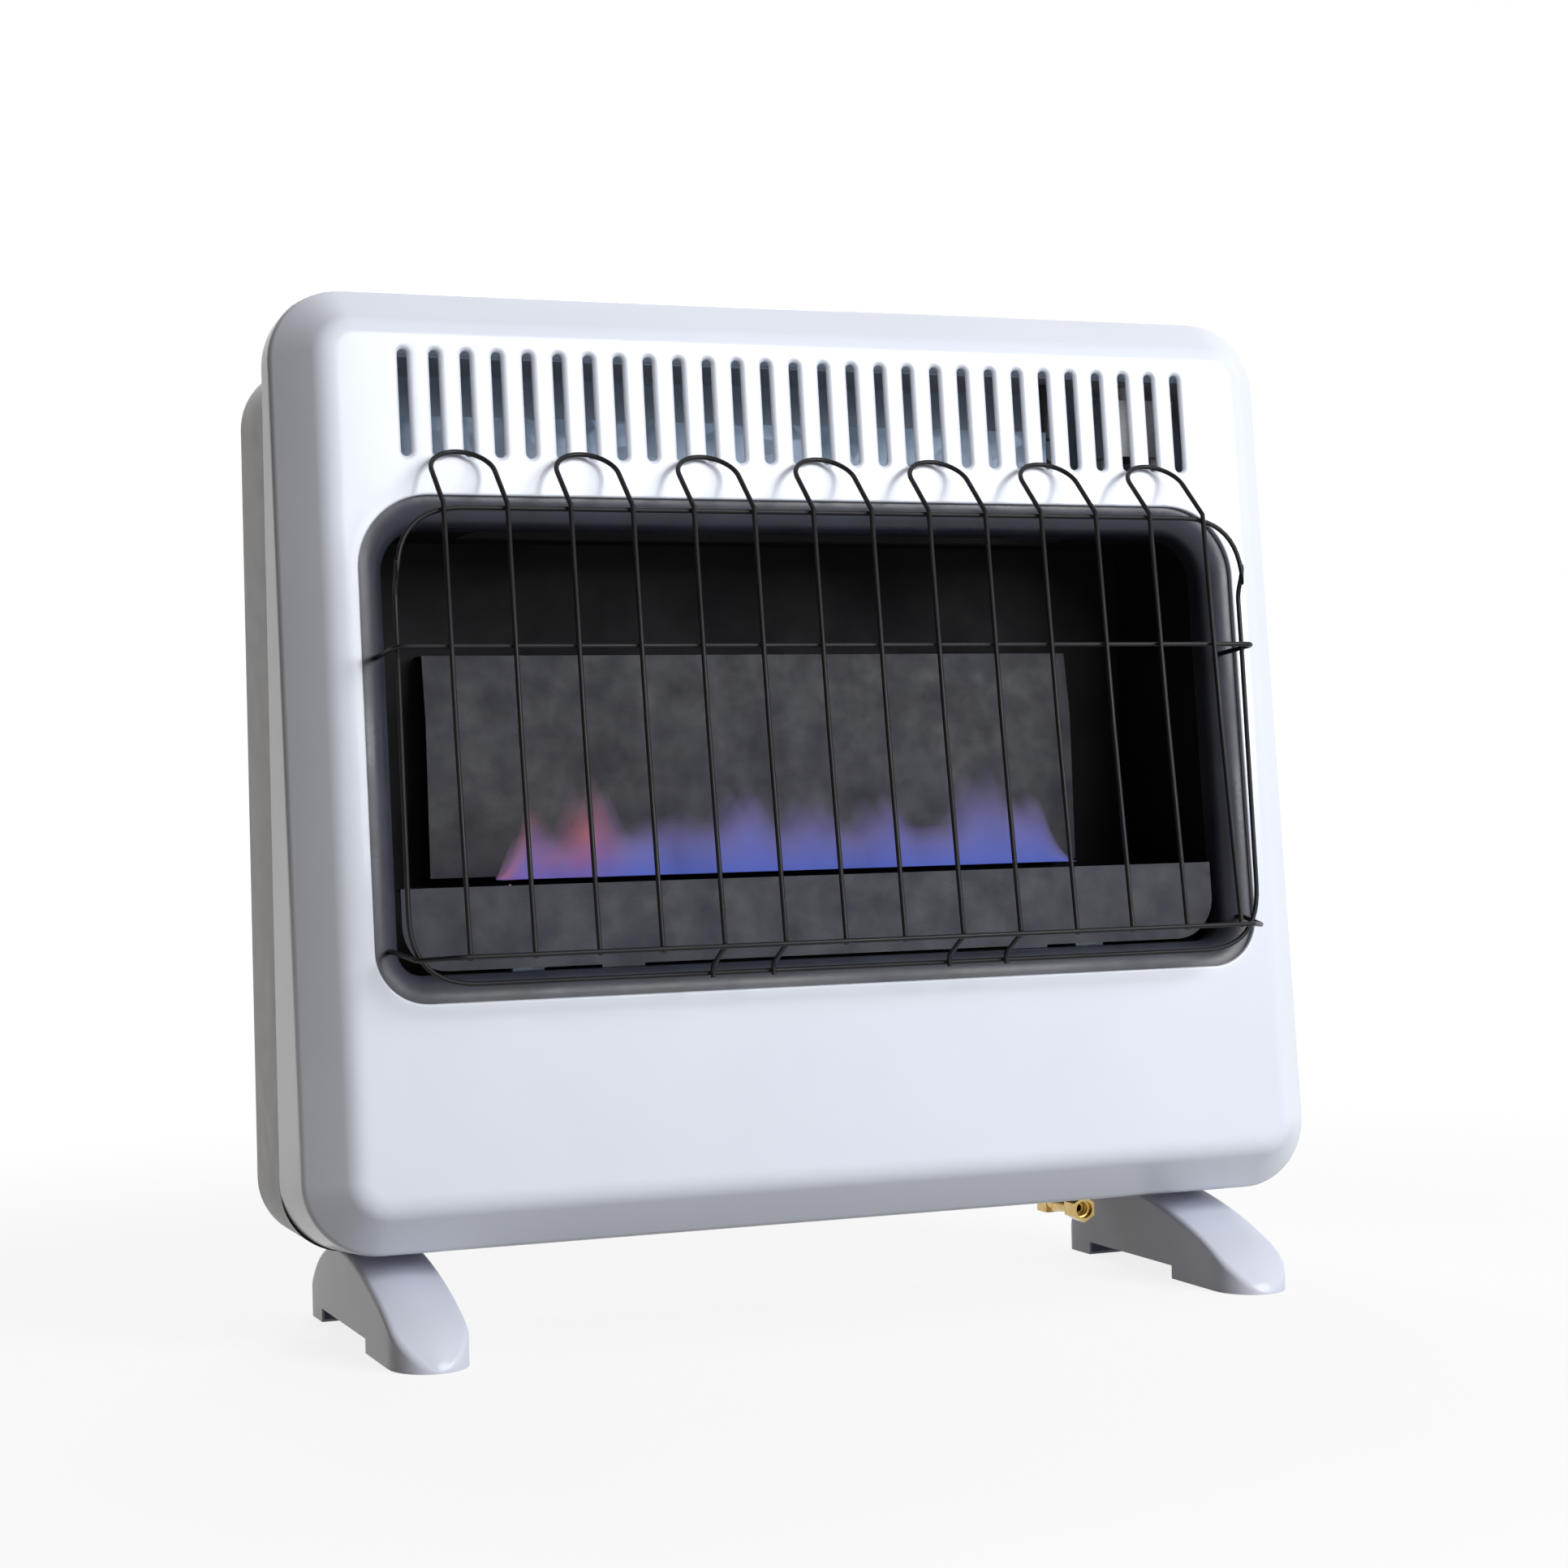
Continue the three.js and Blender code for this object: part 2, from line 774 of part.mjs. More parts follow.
function rearCabinet() {
  const bend = cabinetBackBend;
  const shell = loft([
    cabinetRing(sheet + bend, cabinetBack - sheet), cabinetRing(sheet, cabinetBack - sheet - bend),
    cabinetRing(sheet, cabinetFront()), cabinetRing(0, cabinetFront()),
    cabinetRing(0, cabinetBack - bend), cabinetRing(bend, cabinetBack),
  ]);
  const cuts = [
    ...slotPlaces(intakeCount, intakePitch).filter((x) => !nearInlet(x)).map(intakeSlot),
    ...keyhole(-keyholeSpread), ...keyhole(keyholeSpread),
    floorHole(inletX, inletY, inletNipple + holeAir),
    deckHole(controlX, controlY, stemRadius + holeAir),
    deckHole(igniterX, controlY, igniterNeck + clearance),
    ...footScrewPlaces().map(([x, y]) => floorHole(x, y, screwShank + clearance)),
  ];
  return cut(shell, cuts);
}

function intakeSlot(x) {
  return box(x - intakeLength / 2, x + intakeLength / 2, intakeY - intakeWidth / 2, intakeY + intakeWidth / 2,
    cabinetLow() - overrun, cabinetLow() + overrun);
}

function nearInlet(x) {
  return Math.abs(x - inletX) < intakeLength / 2 + inletNipple + intakeLand;
}

function footScrewPlaces() {
  return [-footSpread, footSpread].flatMap((x) => [[x, footScrewFront], [x, footScrewRear]]);
}

// The outline of a foot from the side, drawn in by an inset, with its front and heel curves.
function footProfile(inset) {
  const top = cabinetLow() - clearance - inset;
  const low = -standHeight + inset * (footFloor / footWall);
  const front = curveDown(footTopFront + inset, top, footToe + inset, low, footFrontShares);
  const rear = curveDown(footTopRear - inset, top, footHeel - inset, low, footRearShares);
  return new THREE.Shape([...front, ...rear.reverse()]);
}

function curveDown(y0, z0, y1, z1, shares) {
  const [first, second] = shares.map(([along, down]) => (
    new THREE.Vector2(y0 + along * (y1 - y0), z0 + down * (z1 - z0))));
  const [top, end] = pairs([[y0, z0], [y1, z1]]);
  return new THREE.CubicBezierCurve(top, first, second, end).getPoints(footSteps);
}

// The same foot from above: parallel flanks, a long round toe and a short round heel.
function footPlan(x, inset) {
  const half = footWidth / 2 - inset;
  const toe = footToeRound - inset;
  const heel = footHeelRound - inset;
  const plan = new THREE.Shape();
  plan.absellipse(x, footToe + footToeRound, half, toe, Math.PI, 2 * Math.PI, false);
  plan.absellipse(x, footHeel - footHeelRound, half, heel, 0, Math.PI, false);
  return plan;
}

function footSolid(x, inset) {
  const side = alongX(footProfile(inset), x - footWidth / 2 + inset, x + footWidth / 2 - inset);
  const plan = alongZ(footPlan(x, inset), -standHeight - overrun, cabinetLow() + overrun, footSteps);
  return solid(side).intersect(solid(plan));
}

function foot(x) {
  const notch = box(x - footWidth, x + footWidth, footNotchFront, footNotchRear,
    -standHeight - overrun, -standHeight + footNotchHeight);
  const hollow = footSolid(x, 0).subtract(footSolid(x, footWall)).subtract(solid(notch));
  const holes = footScrewPlaces().filter(([at]) => at === x)
    .map(([at, y]) => solid(floorHole(at, y, screwShank + clearance)));
  return geometryOf(holes.reduce((left, cutter) => left.subtract(cutter), hollow));
}

// How far in front of the face the guard's uprights stand at a height on the slope.
function uprightStandoff(slope) {
  if (slope < uprightMiddle) {
    const share = (slope - uprightFoot) / (uprightMiddle - uprightFoot);
    return uprightFootStandoff + share * (uprightMiddleStandoff - uprightFootStandoff);
  }
  const share = (slope - uprightMiddle) / (uprightHead - uprightMiddle);
  return uprightMiddleStandoff + share * (uprightHeadStandoff - uprightMiddleStandoff);
}

function guardPoint(x, standoff, slope) {
  return point(x, -standoff, slope);
}

// One leg of a loop from its lower end to its head. A long leg turns back down to the ring's lower run.
function loopLeg(x, isLong) {
  const climb = [uprightMiddle, uprightHead].map((slope) => guardPoint(x, uprightStandoff(slope), slope));
  if (!isLong) return [guardPoint(x, uprightFootStandoff, uprightFoot), ...climb];
  const landing = ringLowStandoff + railWeld;
  const knee = guardPoint(x, uprightStandoff(bottomRailHeight), bottomRailHeight);
  const tail = [ringLow - longLegTail, ringLow + railWeld].map((slope) => guardPoint(x, landing, slope));
  return [...tail, knee, ...climb];
}

function guardLoop(index) {
  const centre = slotPlaces(loopCount, 2 * uprightPitch)[index];
  const half = uprightPitch / 2;
  const isLong = longLoops.includes(index);
  const tilt = new THREE.Vector2(uprightHeadStandoff - loopTopStandoff, loopTop - uprightHead);
  const reach = tilt.length() - half;
  tilt.normalize();
  const arch = Array.from({ length: loopSteps + 1 }, (_, step) => {
    const angle = Math.PI * (1 - step / loopSteps);
    const up = reach + half * Math.sin(angle);
    const standoff = uprightHeadStandoff - up * tilt.x;
    return guardPoint(centre + half * Math.cos(angle), standoff, uprightHead + up * tilt.y);
  });
  const stations = [...loopLeg(centre - half, isLong), ...arch, ...loopLeg(centre + half, isLong).reverse()];
  return tube(stations, wireRadius, wireSides);
}

function mirroredRun(points) {
  const mirror = points.map(({ x, y, z }) => point(-x, y, z)).reverse();
  return [...points, ...mirror];
}

function bottomRail() {
  const standoff = uprightStandoff(bottomRailHeight) + railWeld;
  const end = mirroredRun([point(-railHole, railInsertion, railHoleHeight),
    guardPoint(-railHole, 0, railHoleHeight),
    guardPoint(-bottomRailElbow, bottomRailElbowStandoff, bottomRailHeight),
    guardPoint(-bottomRailHalf, standoff, bottomRailHeight)]);
  const half = railBendRun / 2;
  return tube(roundCorners(end, [0, half, half, half, half, half, half, 0], 3), wireRadius, railSides);
}

function middleRail() {
  const standoff = uprightStandoff(middleRailHeight) - railWeld;
  const end = mirroredRun([point(-railHole, railInsertion, middleRailHeight),
    guardPoint(-railHole, standoff, middleRailHeight)]);
  return tube(roundCorners(end, [0, railBendRun, railBendRun, 0], 5), wireRadius, railSides);
}

function guardRing() {
  const head = uprightHeadStandoff - railWeld;
  const right = [[ringLowStandoff, ringLow], [ringSideStandoff, middleRailHeight],
    [ringSideStandoff, ringJoggleLow], [head, ringJoggleHigh], [head, ringHigh]];
  const corners = [...right.map(([standoff, slope]) => guardPoint(ringHalf, standoff, slope)),
    ...right.reverse().map(([standoff, slope]) => guardPoint(-ringHalf, standoff, slope))];
  const runs = [ringLowCorner, 0, ringJoggleRun, ringJoggleRun, ringTopCorner];
  const stations = roundCorners(corners, [...runs, ...[...runs].reverse()], bendSteps + 1, true);
  return ringTube(stations, wireRadius, railSides, point(0, 1, 0));
}

// The firebox slides over the surround's inner wall, and its mouth leans as that wall's rim does.
function fireboxMouth(inset) {
  const low = slopeOfHeight(fireboxFloor(), fireboxFront) + inset;
  const high = slopeOfHeight(fireboxCeiling(), fireboxFront) - inset;
  return roundedRing(fireboxHalf - inset, low, high, fireboxCorner - inset,
    (x, slope) => leant(x, fireboxFront, slope));
}

function fireboxFloor() {
  return leant(0, surroundDepth, windowLow + surroundInset - sheet - clearance).z;
}

function fireboxCeiling() {
  return leant(0, fireboxFront, windowHigh - surroundInset + sheet + clearance).z;
}

function fireboxBack() {
  return cabinetBack - sheet - clearance;
}

function fireboxRearRing(inset, y) {
  return roundedRing(fireboxHalf - inset, fireboxFloor() + inset, fireboxCeiling() - inset,
    fireboxCorner - inset, (x, z) => point(x, y, z));
}

function firebox() {
  const shell = loft([
    fireboxRearRing(0, fireboxBack() - sheet), fireboxMouth(0), fireboxMouth(-sheet),
    fireboxRearRing(-sheet, fireboxBack()),
  ]);
  const outlet = alongZ(rounded(-outletHalf, outletFront, outletHalf, outletRear, cabinetBackBend),
    fireboxCeiling() - overrun, fireboxCeiling() + overrun, 3);
  const passage = box(fireboxHalf - fireboxCorner, fireboxHalf + overrun, passageFront, passageRear,
    fireboxFloor() + passageRise, fireboxFloor() + passageRise + passageHeight);
  const entry = turnedAlongX(rod(entryHole, 2 * overrun), fireboxHalf - overrun, burnerY, burnerZ, 16);
  return cut(shell, [outlet, passage, entry]);
}

function burnerShield() {
  const plate = new THREE.Shape();
  const [centre, rise] = [shieldHalf - shieldCorner, shieldLow + shieldCorner];
  plate.moveTo(shieldHalf, shieldHigh);
  plate.lineTo(-shieldHalf, shieldHigh);
  plate.absarc(-centre, rise, shieldCorner, Math.PI, 1.5 * Math.PI, false);
  plate.absarc(centre, rise, shieldCorner, 1.5 * Math.PI, 2 * Math.PI, false);
  const face = alongY(plate, shieldDepth, shieldDepth + sheet);
  const foldRear = shieldDepth + shieldFold;
  const fold = box(-shieldHalf, shieldHalf, shieldDepth, foldRear, shieldHigh - sheet, shieldHigh);
  const tabLow = windowLow + surroundInset + clearance;
  const tabs = [-shieldTabSpread, shieldTabSpread].flatMap((x) => {
    const [left, right] = [x - shieldTabWidth / 2, x + shieldTabWidth / 2];
    return [box(left, right, shieldDepth, shieldDepth + sheet, tabLow, shieldLow + overrun),
      box(left, right, shieldDepth, surroundDepth, tabLow, tabLow + sheet)];
  });
  return join(face, [fold, ...tabs]);
}

function reflector() {
  const rear = fireboxBack() - sheet - clearance;
  const [low, crease, high] = [[reflectorLowDepth, reflectorLow], [reflectorCreaseDepth, reflectorCrease],
    [reflectorHighDepth, reflectorHigh]].map(([depth, slope]) => leant(0, depth, slope));
  const run = pairs([[rear, low.z], [low.y, low.z], [crease.y, crease.z], [high.y, high.z], [rear, high.z]]);
  return alongX(bentSheet(run, -sheet), -reflectorHalf, reflectorHalf);
}

function heatDeflector() {
  const rear = cabinetBack - sheet - clearance;
  const run = pairs([[rear, deflectorFlangeLow], [rear, deflectorFlangeHigh],
    [deflectorFront, deflectorFrontHeight], [deflectorFront, deflectorFrontHeight - deflectorSkirt]]);
  return alongX(bentSheet(run, sheet), deflectorInset - panelHalf, igniterX - deflectorGap);
}

function burnerSection(inset) {
  const radius = burnerHeight / 2 - inset;
  const reach = (burnerWidth - burnerHeight) / 2;
  const shape = new THREE.Shape();
  shape.absarc(burnerY + reach, burnerZ, radius, -Math.PI / 2, Math.PI / 2, false);
  shape.absarc(burnerY - reach, burnerZ, radius, Math.PI / 2, 1.5 * Math.PI, false);
  return shape;
}

function burnerTube() {
  const outer = alongX(burnerSection(0), -burnerHalf, burnerHalf, burnerEndSteps);
  const end = burnerHalf - burnerWall;
  const inner = alongX(burnerSection(burnerWall), -end, end, burnerEndSteps);
  const ports = slotPlaces(portCount, portPitch).map((x) => box(x - portWidth / 2, x + portWidth / 2,
    burnerY - portLength / 2, burnerY + portLength / 2, burnerZ + burnerHeight / 4, burnerZ + burnerHeight));
  const throat = rod(venturiThroat + clearance, 2 * overrun);
  const inlet = turnedAlongX(throat, burnerHalf - overrun, burnerY, burnerZ);
  return cut(outer, [inner, ...ports, inlet]);
}

function burnerVenturi() {
  const profile = [[venturiThroat - venturiWall, -overrun], [venturiThroat, -overrun],
    [venturiThroat, overrun], [venturiBell, venturiLength], [venturiBell - venturiWall, venturiLength],
    [venturiThroat - venturiWall, overrun], [venturiThroat - venturiWall, -overrun]];
  return turnedAlongX(profile, burnerHalf, burnerY, burnerZ);
}

function orificeX() {
  return burnerHalf + venturiLength + orificeGap;
}

function orificeHolder() {
  const hex = turnedAlongX(rod(orificeHex, orificeLength), orificeX(), burnerY, burnerZ, 6);
  const boss = turnedAlongX(rod(orificeBoss, orificeBossLength), orificeX() - orificeBossLength + orificeGap,
    burnerY, burnerZ, 12);
  return join(hex, [boss]);
}

// The section of a bracket with its foot on the firebox floor, both its foot and its shelf reaching back.
function bracketSection(web, foot, shelf, high) {
  const low = fireboxFloor() + clearance;
  return new THREE.Shape(pairs([[web, low], [web + foot, low], [web + foot, low + sheet],
    [web + sheet, low + sheet], [web + sheet, high - sheet], [web + shelf, high - sheet], [web + shelf, high],
    [web, high]]));
}

function burnerBracket(x) {
  const section = bracketSection(burnerY - bracketShelf / 2, bracketFoot, bracketShelf,
    burnerZ - burnerHeight / 2 - clearance);
  return alongX(section, x - bracketWidth / 2, x + bracketWidth / 2);
}

function pilotBracket() {
  const section = bracketSection(pilotY - pilotPlateFoot, pilotPlateFoot, 2 * pilotPlateFoot, pilotShelf());
  const plate = alongX(section, pilotX - pilotPlateHalf, pilotX + pilotPlateHalf);
  const holes = pilotParts().map(([x, radius]) => (
    alongZ(hole(x, pilotY, radius + pilotHole), pilotShelf() - overrun, pilotShelf() + overrun)));
  return cut(plate, holes);
}

function pilotParts() {
  return [[pilotX, pilotTubeRadius * 2], [pilotX - pilotSpacing, probeRadius],
    [pilotX + pilotSpacing, electrodeRadius]];
}

function pilotShelf() {
  return pilotTop - pilotBurnerLength + sheet;
}

function pilotBurner() {
  const top = pilotTop - pilotShelf();
  const neck = pilotTubeRadius * 2;
  const profile = [[0, -overrun], [neck, -overrun], [neck, clearance], [pilotBurnerRadius, clearance],
    [pilotBurnerRadius, top - pilotHoodHeight], [pilotHoodRadius, top - pilotHoodHeight + clearance],
    [pilotHoodRadius, top], [0, top]];
  return turned(profile, pilotX, pilotY, pilotShelf(), 14);
}

function thermocouple() {
  const collar = probeRadius + probeRim;
  const profile = [[0, -overrun], [probeRadius, -overrun], [probeRadius, clearance], [collar, clearance],
    [collar, probeCollar], [probeRadius, probeCollar], [probeRadius / 2, probeLength - overrun],
    [0, probeLength - overrun]];
  return turned(profile, pilotX - pilotSpacing, pilotY, pilotShelf(), 10);
}

function sparkElectrode() {
  const reach = pilotTop - pilotShelf();
  const profile = [[0, -overrun], [electrodeRadius, -overrun], [electrodeRadius, clearance],
    [electrodeRadius + electrodeTip, clearance], [electrodeRadius + electrodeTip, probeCollar],
    [electrodeRadius, probeCollar], [electrodeRadius, reach - overrun], [electrodeTip, reach - overrun],
    [electrodeTip, reach], [0, reach]];
  return turned(profile, pilotX + pilotSpacing, pilotY, pilotShelf(), 10);
}

function bentTube(points, bend, radius, sides) {
  const runs = points.map((_, i) => (i === 0 || i === points.length - 1 ? 0 : bend));
  return tube(roundCorners(points, runs, bendSteps), radius, sides);
}

function valveLow() {
  return cabinetTop - sheet - clearance - valveNeckHeight - valveHeight;
}

// The valve stands under the deck on its neck, with three ports below for the pipes.
function gasValve() {
  const [x0, x1] = [controlX - valveWidth / 2, controlX + valveWidth / 2];
  const [y0, y1] = [controlY - valveDepth / 2, controlY + valveDepth / 2];
  const low = valveLow();
  const block = alongZ(rounded(x0, y0, x1, y1, valveBevel), low, low + valveHeight, 2);
  const neck = turned(rod(valveNeck, valveHeight + valveNeckHeight), controlX, controlY, low, 16);
  const ports = valvePorts().map(([x, y]) => turned(rod(valvePort, valvePortHeight + overrun), x, y,
    low - valvePortHeight, 6));
  const depth = stemBelow + stemTravel + stemSump + valveNeckHeight;
  const bore = turned(rod(stemRadius + stemRun, depth + overrun), controlX, controlY, cabinetTop - depth, 16);
  return cut(join(block, [neck, ...ports]), [bore]);
}

function valvePorts() {
  const inset = valvePort + valveBevel;
  return [[controlX + valveWidth / 2 - inset, controlY + valveDepth / 2 - inset],
    [controlX + valveWidth / 2 - inset, controlY - valveDepth / 2 + inset],
    [controlX - valveWidth / 2 + inset, controlY]];
}

function portEnd() {
  return valveLow() - valvePortHeight - clearance;
}

function supplyPipe() {
  const [x, y] = valvePorts()[0];
  const low = regulatorMiddle();
  return bentTube([point(inletX + regulatorBossLength + clearance, inletY, low), point(supplyX, inletY, low),
    point(supplyX, supplyY, low + pipeBend * 2), point(supplyX, supplyY, valveLow() - pipeBend * 3),
    point(x, y, valveLow() - pipeBend * 2), point(x, y, portEnd())],
  pipeBend, supplyRadius, pipeSides);
}

function burnerPipe() {
  const [x, y] = valvePorts()[1];
  return bentTube([point(x, y, portEnd()), point(x, y, valveLow() - pipeBend * 2),
    point(burnerPipeX, burnerPipeY, valveLow() - pipeBend * 3),
    point(burnerPipeX, burnerPipeY, burnerZ + pipeBend * 4), point(burnerPipeX, burnerY, burnerZ),
    point(orificeX() + orificeLength + clearance, burnerY, burnerZ)],
  pipeBend, burnerPipeRadius, pipeSides);
}

function pilotTube() {
  const [x, y] = valvePorts()[2];
  const run = fireboxFloor() + runRise;
  return bentTube([point(x, y, portEnd()), point(x, y, valveLow() - pipeBend * 2),
    point(tubeBayX, tubeRunY, valveLow() - pipeBend * 4), point(tubeBayX, tubeRunY, run),
    point(pilotX, tubeRunY, run), point(pilotX, pilotY, run),
    point(pilotX, pilotY, pilotShelf() - overrun - clearance)],
  tubeBend, pilotTubeRadius, tubeSides);
}

function ignitionLead() {
  const run = fireboxFloor() + leadRise;
  const x = pilotX + pilotSpacing;
  return bentTube([point(igniterX, controlY, igniterFoot() - clearance),
    point(igniterX, controlY, igniterFoot() - pipeBend),
    point(leadBayX, leadRunY, igniterFoot() - pipeBend * 3),
    point(leadBayX, leadRunY, run), point(x, leadRunY, run), point(x, pilotY, run),
    point(x, pilotY, pilotShelf() - overrun - clearance)],
  leadBend, leadRadius, tubeSides);
}

function valveStem() {
  const top = stemBelow + valveNeckHeight + stemAbove;
  return turned(rod(stemRadius, top), controlX, controlY, cabinetTop - stemBelow - valveNeckHeight, 16);
}

// The knob: a tapered skirt with a grip across its top, bored from below for the stem.
function controlKnob() {
  const low = cabinetTop + knobRise;
  const crown = knobRadius - 2 * knobDraft;
  const profile = [[0, 0], [knobRadius, 0], [knobRadius, knobSkirt],
    [knobRadius - knobDraft, knobHeight - knobDraft], [crown, knobHeight], [0, knobHeight]];
  const reach = knobGripShare * crown;
  const [left, right] = [controlX - knobGripWidth / 2, controlX + knobGripWidth / 2];
  const outline = rounded(left, controlY - reach, right, controlY + reach, knobGripWidth / 2 - clearance);
  const top = low + knobHeight;
  const grip = alongZ(outline, top - knobDraft, top + knobGripHeight, knobGripSteps);
  const depth = stemAbove - knobRise + clearance;
  const bore = turned(rod(stemRadius + clearance, depth + overrun), controlX, controlY, low - overrun, 16);
  return cut(join(turned(profile, controlX, controlY, low, knobSteps), [grip]), [bore]);
}

function controlBezel() {
  const [low, high] = [cabinetTop + clearance, cabinetTop + clearance + bezelThickness];
  const plate = alongZ(rounded(igniterX - bezelLeft, controlY - bezelHalf, controlX + bezelRight,
    controlY + bezelHalf, bezelCorner),
    low, high, 3);
  const places = [[controlX, stemRadius + holeAir], [igniterX, igniterNutRadius + holeAir]];
  return cut(plate, places.map(([x, radius]) => (
    alongZ(hole(x, controlY, radius), low - overrun, high + overrun))));
}

function igniterFoot() {
  return cabinetTop - sheet - clearance - igniterLength;
}

function igniterBody() {
  const neck = igniterRim() - igniterFoot();
  const sump = neck - igniterBoreDepth;
  const profile = [[0, 0], [igniterRadius, 0], [igniterRadius, igniterLength], [igniterNeck, igniterLength],
    [igniterNeck, neck], [igniterBore, neck], [igniterBore, sump], [0, sump]];
  return turned(profile, igniterX, controlY, igniterFoot(), 16);
}

function igniterNut() {
  const low = cabinetTop + clearance;
  const nut = turned(rod(igniterNutRadius, igniterNutHeight), igniterX, controlY, low, 6);
  const bore = turned(rod(igniterNeck + clearance, igniterNutHeight + 2 * overrun), igniterX, controlY,
    low - overrun, 16);
  return cut(nut, [bore]);
}

function igniterRim() {
  return igniterFoot() + igniterLength + clearance * 2 + sheet + igniterNeckRise;
}

function igniterButton() {
  const stand = buttonTravel + buttonStop;
  const shaft = igniterBore - clearance;
  const profile = [[0, -buttonReach], [shaft, -buttonReach], [shaft, stand], [buttonCap, stand],
    [buttonCap, stand + buttonCapHeight - electrodeTip], [buttonCap - electrodeTip, stand + buttonCapHeight],
    [0, stand + buttonCapHeight]];
  return turned(profile, igniterX, controlY, igniterRim(), roundSteps);
}

function floorTop() {
  return cabinetLow() + sheet + clearance;
}

function regulatorMiddle() {
  return floorTop() + regulatorHeight / 2;
}

function pressureRegulator() {
  const profile = [[0, 0], [regulatorRadius, 0], [regulatorRadius, regulatorHeight],
    [regulatorCap, regulatorHeight + regulatorBoss / 2], [regulatorCap, regulatorHeight + regulatorCapHeight],
    [0, regulatorHeight + regulatorCapHeight]];
  const boss = turnedAlongX(rod(regulatorBoss, regulatorBossLength), inletX, inletY, regulatorMiddle(), 6);
  return join(turned(profile, inletX, inletY, floorTop(), roundSteps), [boss]);
}

function elbowCentre() {
  return cabinetLow() - elbowDrop;
}

// The brass elbow: a nipple up through the cabinet's floor, a square body and a socket facing forward.
function inletElbow() {
  const centre = elbowCentre();
  const half = elbowSize / 2;
  const body = box(inletX - half, inletX + half, inletY - half, inletY + half, centre - half, centre + half);
  const nipple = turned(rod(inletNipple, floorTop() - clearance - centre), inletX, inletY, centre, 16);
  return join(body, [nipple]);
}

function inletPipe() {
  const rear = inletY - elbowSize / 2 - clearance;
  const length = rear - inletPipeEnd;
  const profile = [[inletPipeBore, 0], [inletPipeFront, 0], [inletPipeFront, inletNutLength],
    [inletPipeRear, length], [inletPipeBore, length], [inletPipeBore, 0]];
  return turnedAlongY(profile, inletX, inletPipeEnd, elbowCentre(), 16);
}

function inletNut() {
  const z = elbowCentre();
  const nut = turnedAlongY(rod(inletNutRadius, inletNutLength), inletX, inletNutFront, z, 6);
  const through = rod(inletPipeFront + clearance, inletNutLength + 2 * overrun);
  const bore = turnedAlongY(through, inletX, inletNutFront - overrun, z, 16);
  const funnel = [[0, -overrun], [inletNutMouth, -overrun], [inletNutMouth, overrun],
    [inletPipeFront, overrun + clearance], [0, overrun + clearance]];
  return cut(nut, [bore, turnedAlongY(funnel, inletX, inletNutFront, z, 16)]);
}

function bulbY() {
  return cabinetBack - sheet - clearance - bulbStandoff - bulbRadius;
}

function thermostatBulb() {
  return turned([[0, 0], [bulbRadius / 2, 0], [bulbRadius, bulbRadius], [bulbRadius, bulbLength - bulbRadius],
    [bulbRadius / 2, bulbLength], [0, bulbLength]], bulbX, bulbY(), bulbLow, 10);
}

// A spring clip that stands on the cabinet's back wall and holds the bulb from behind and both sides.
function bulbClip() {
  const rear = cabinetBack - sheet - clearance;
  const inner = bulbRadius + clearance;
  const outer = inner + sheet;
  const [front, back] = [bulbY() - inner / 2, bulbY() + inner];
  const outline = new THREE.Shape(pairs([[bulbX - outer, front], [bulbX - inner, front],
    [bulbX - inner, back], [bulbX + inner, back], [bulbX + inner, front], [bulbX + outer, front],
    [bulbX + outer, rear], [bulbX - outer, rear]]));
  const middle = bulbLow + bulbLength / 2;
  return alongZ(outline, middle - bulbClipWidth / 2, middle + bulbClipWidth / 2);
}

function capillary() {
  const y = controlY + valveDepth / 2 + capillaryRadius + clearance;
  const x = controlX + valveWidth / 2 - valvePort;
  const high = valveLow() + valveHeight / 2;
  return bentTube([point(x, controlY + valveDepth / 2 + clearance, high), point(x, bulbY(), high),
    point(bulbX + bulbRadius * 2, bulbY(), high - pipeBend * 3), point(bulbX + bulbRadius * 2, bulbY(), y),
    point(bulbX, bulbY(), bulbLow + bulbLength + pipeBend),
    point(bulbX, bulbY(), bulbLow + bulbLength + clearance)], tubeBend, capillaryRadius, tubeSides);
}

function screw(length) {
  const screwEdge = screwEdgeShare * screwHeadHeight;
  return [[0, -length], [screwShank, -length], [screwShank, 0], [screwHead, 0],
    [screwHead, screwEdge], [screwHead - screwEdge, screwHeadHeight], [0, screwHeadHeight]];
}

function footScrew([x, y]) {
  return turned(screw(screwLength), x, y, floorTop(), screwSides);
}

function addLeaningPieces() {
  addPiece(leaning, 'front_panel', frontPanel(), whiteEnamel);
  addPiece(leaning, 'window_surround', windowSurround(), blackEnamel);
  addPiece(leaning, 'burner_shield', burnerShield(), greyEnamel);
  addPiece(leaning, 'guard_ring', guardRing(), blackWire);
  addPiece(leaning, 'guard_middle_rail', middleRail(), blackWire);
  addPiece(leaning, 'guard_bottom_rail', bottomRail(), blackWire);
  for (let index = 0; index < loopCount; index += 1) {
    addPiece(leaning, `guard_loop_${index + 1}`, guardLoop(index), blackWire);
  }
}

function addCasing() {
  addPiece(heater, 'rear_cabinet', rearCabinet(), cabinetEnamel);
  addPiece(heater, 'left_foot', foot(-footSpread), footEnamel);
  addPiece(heater, 'right_foot', foot(footSpread), footEnamel);
  footScrewPlaces().forEach((place, i) => addPiece(heater, `foot_screw_${i + 1}`, footScrew(place), steel));
}

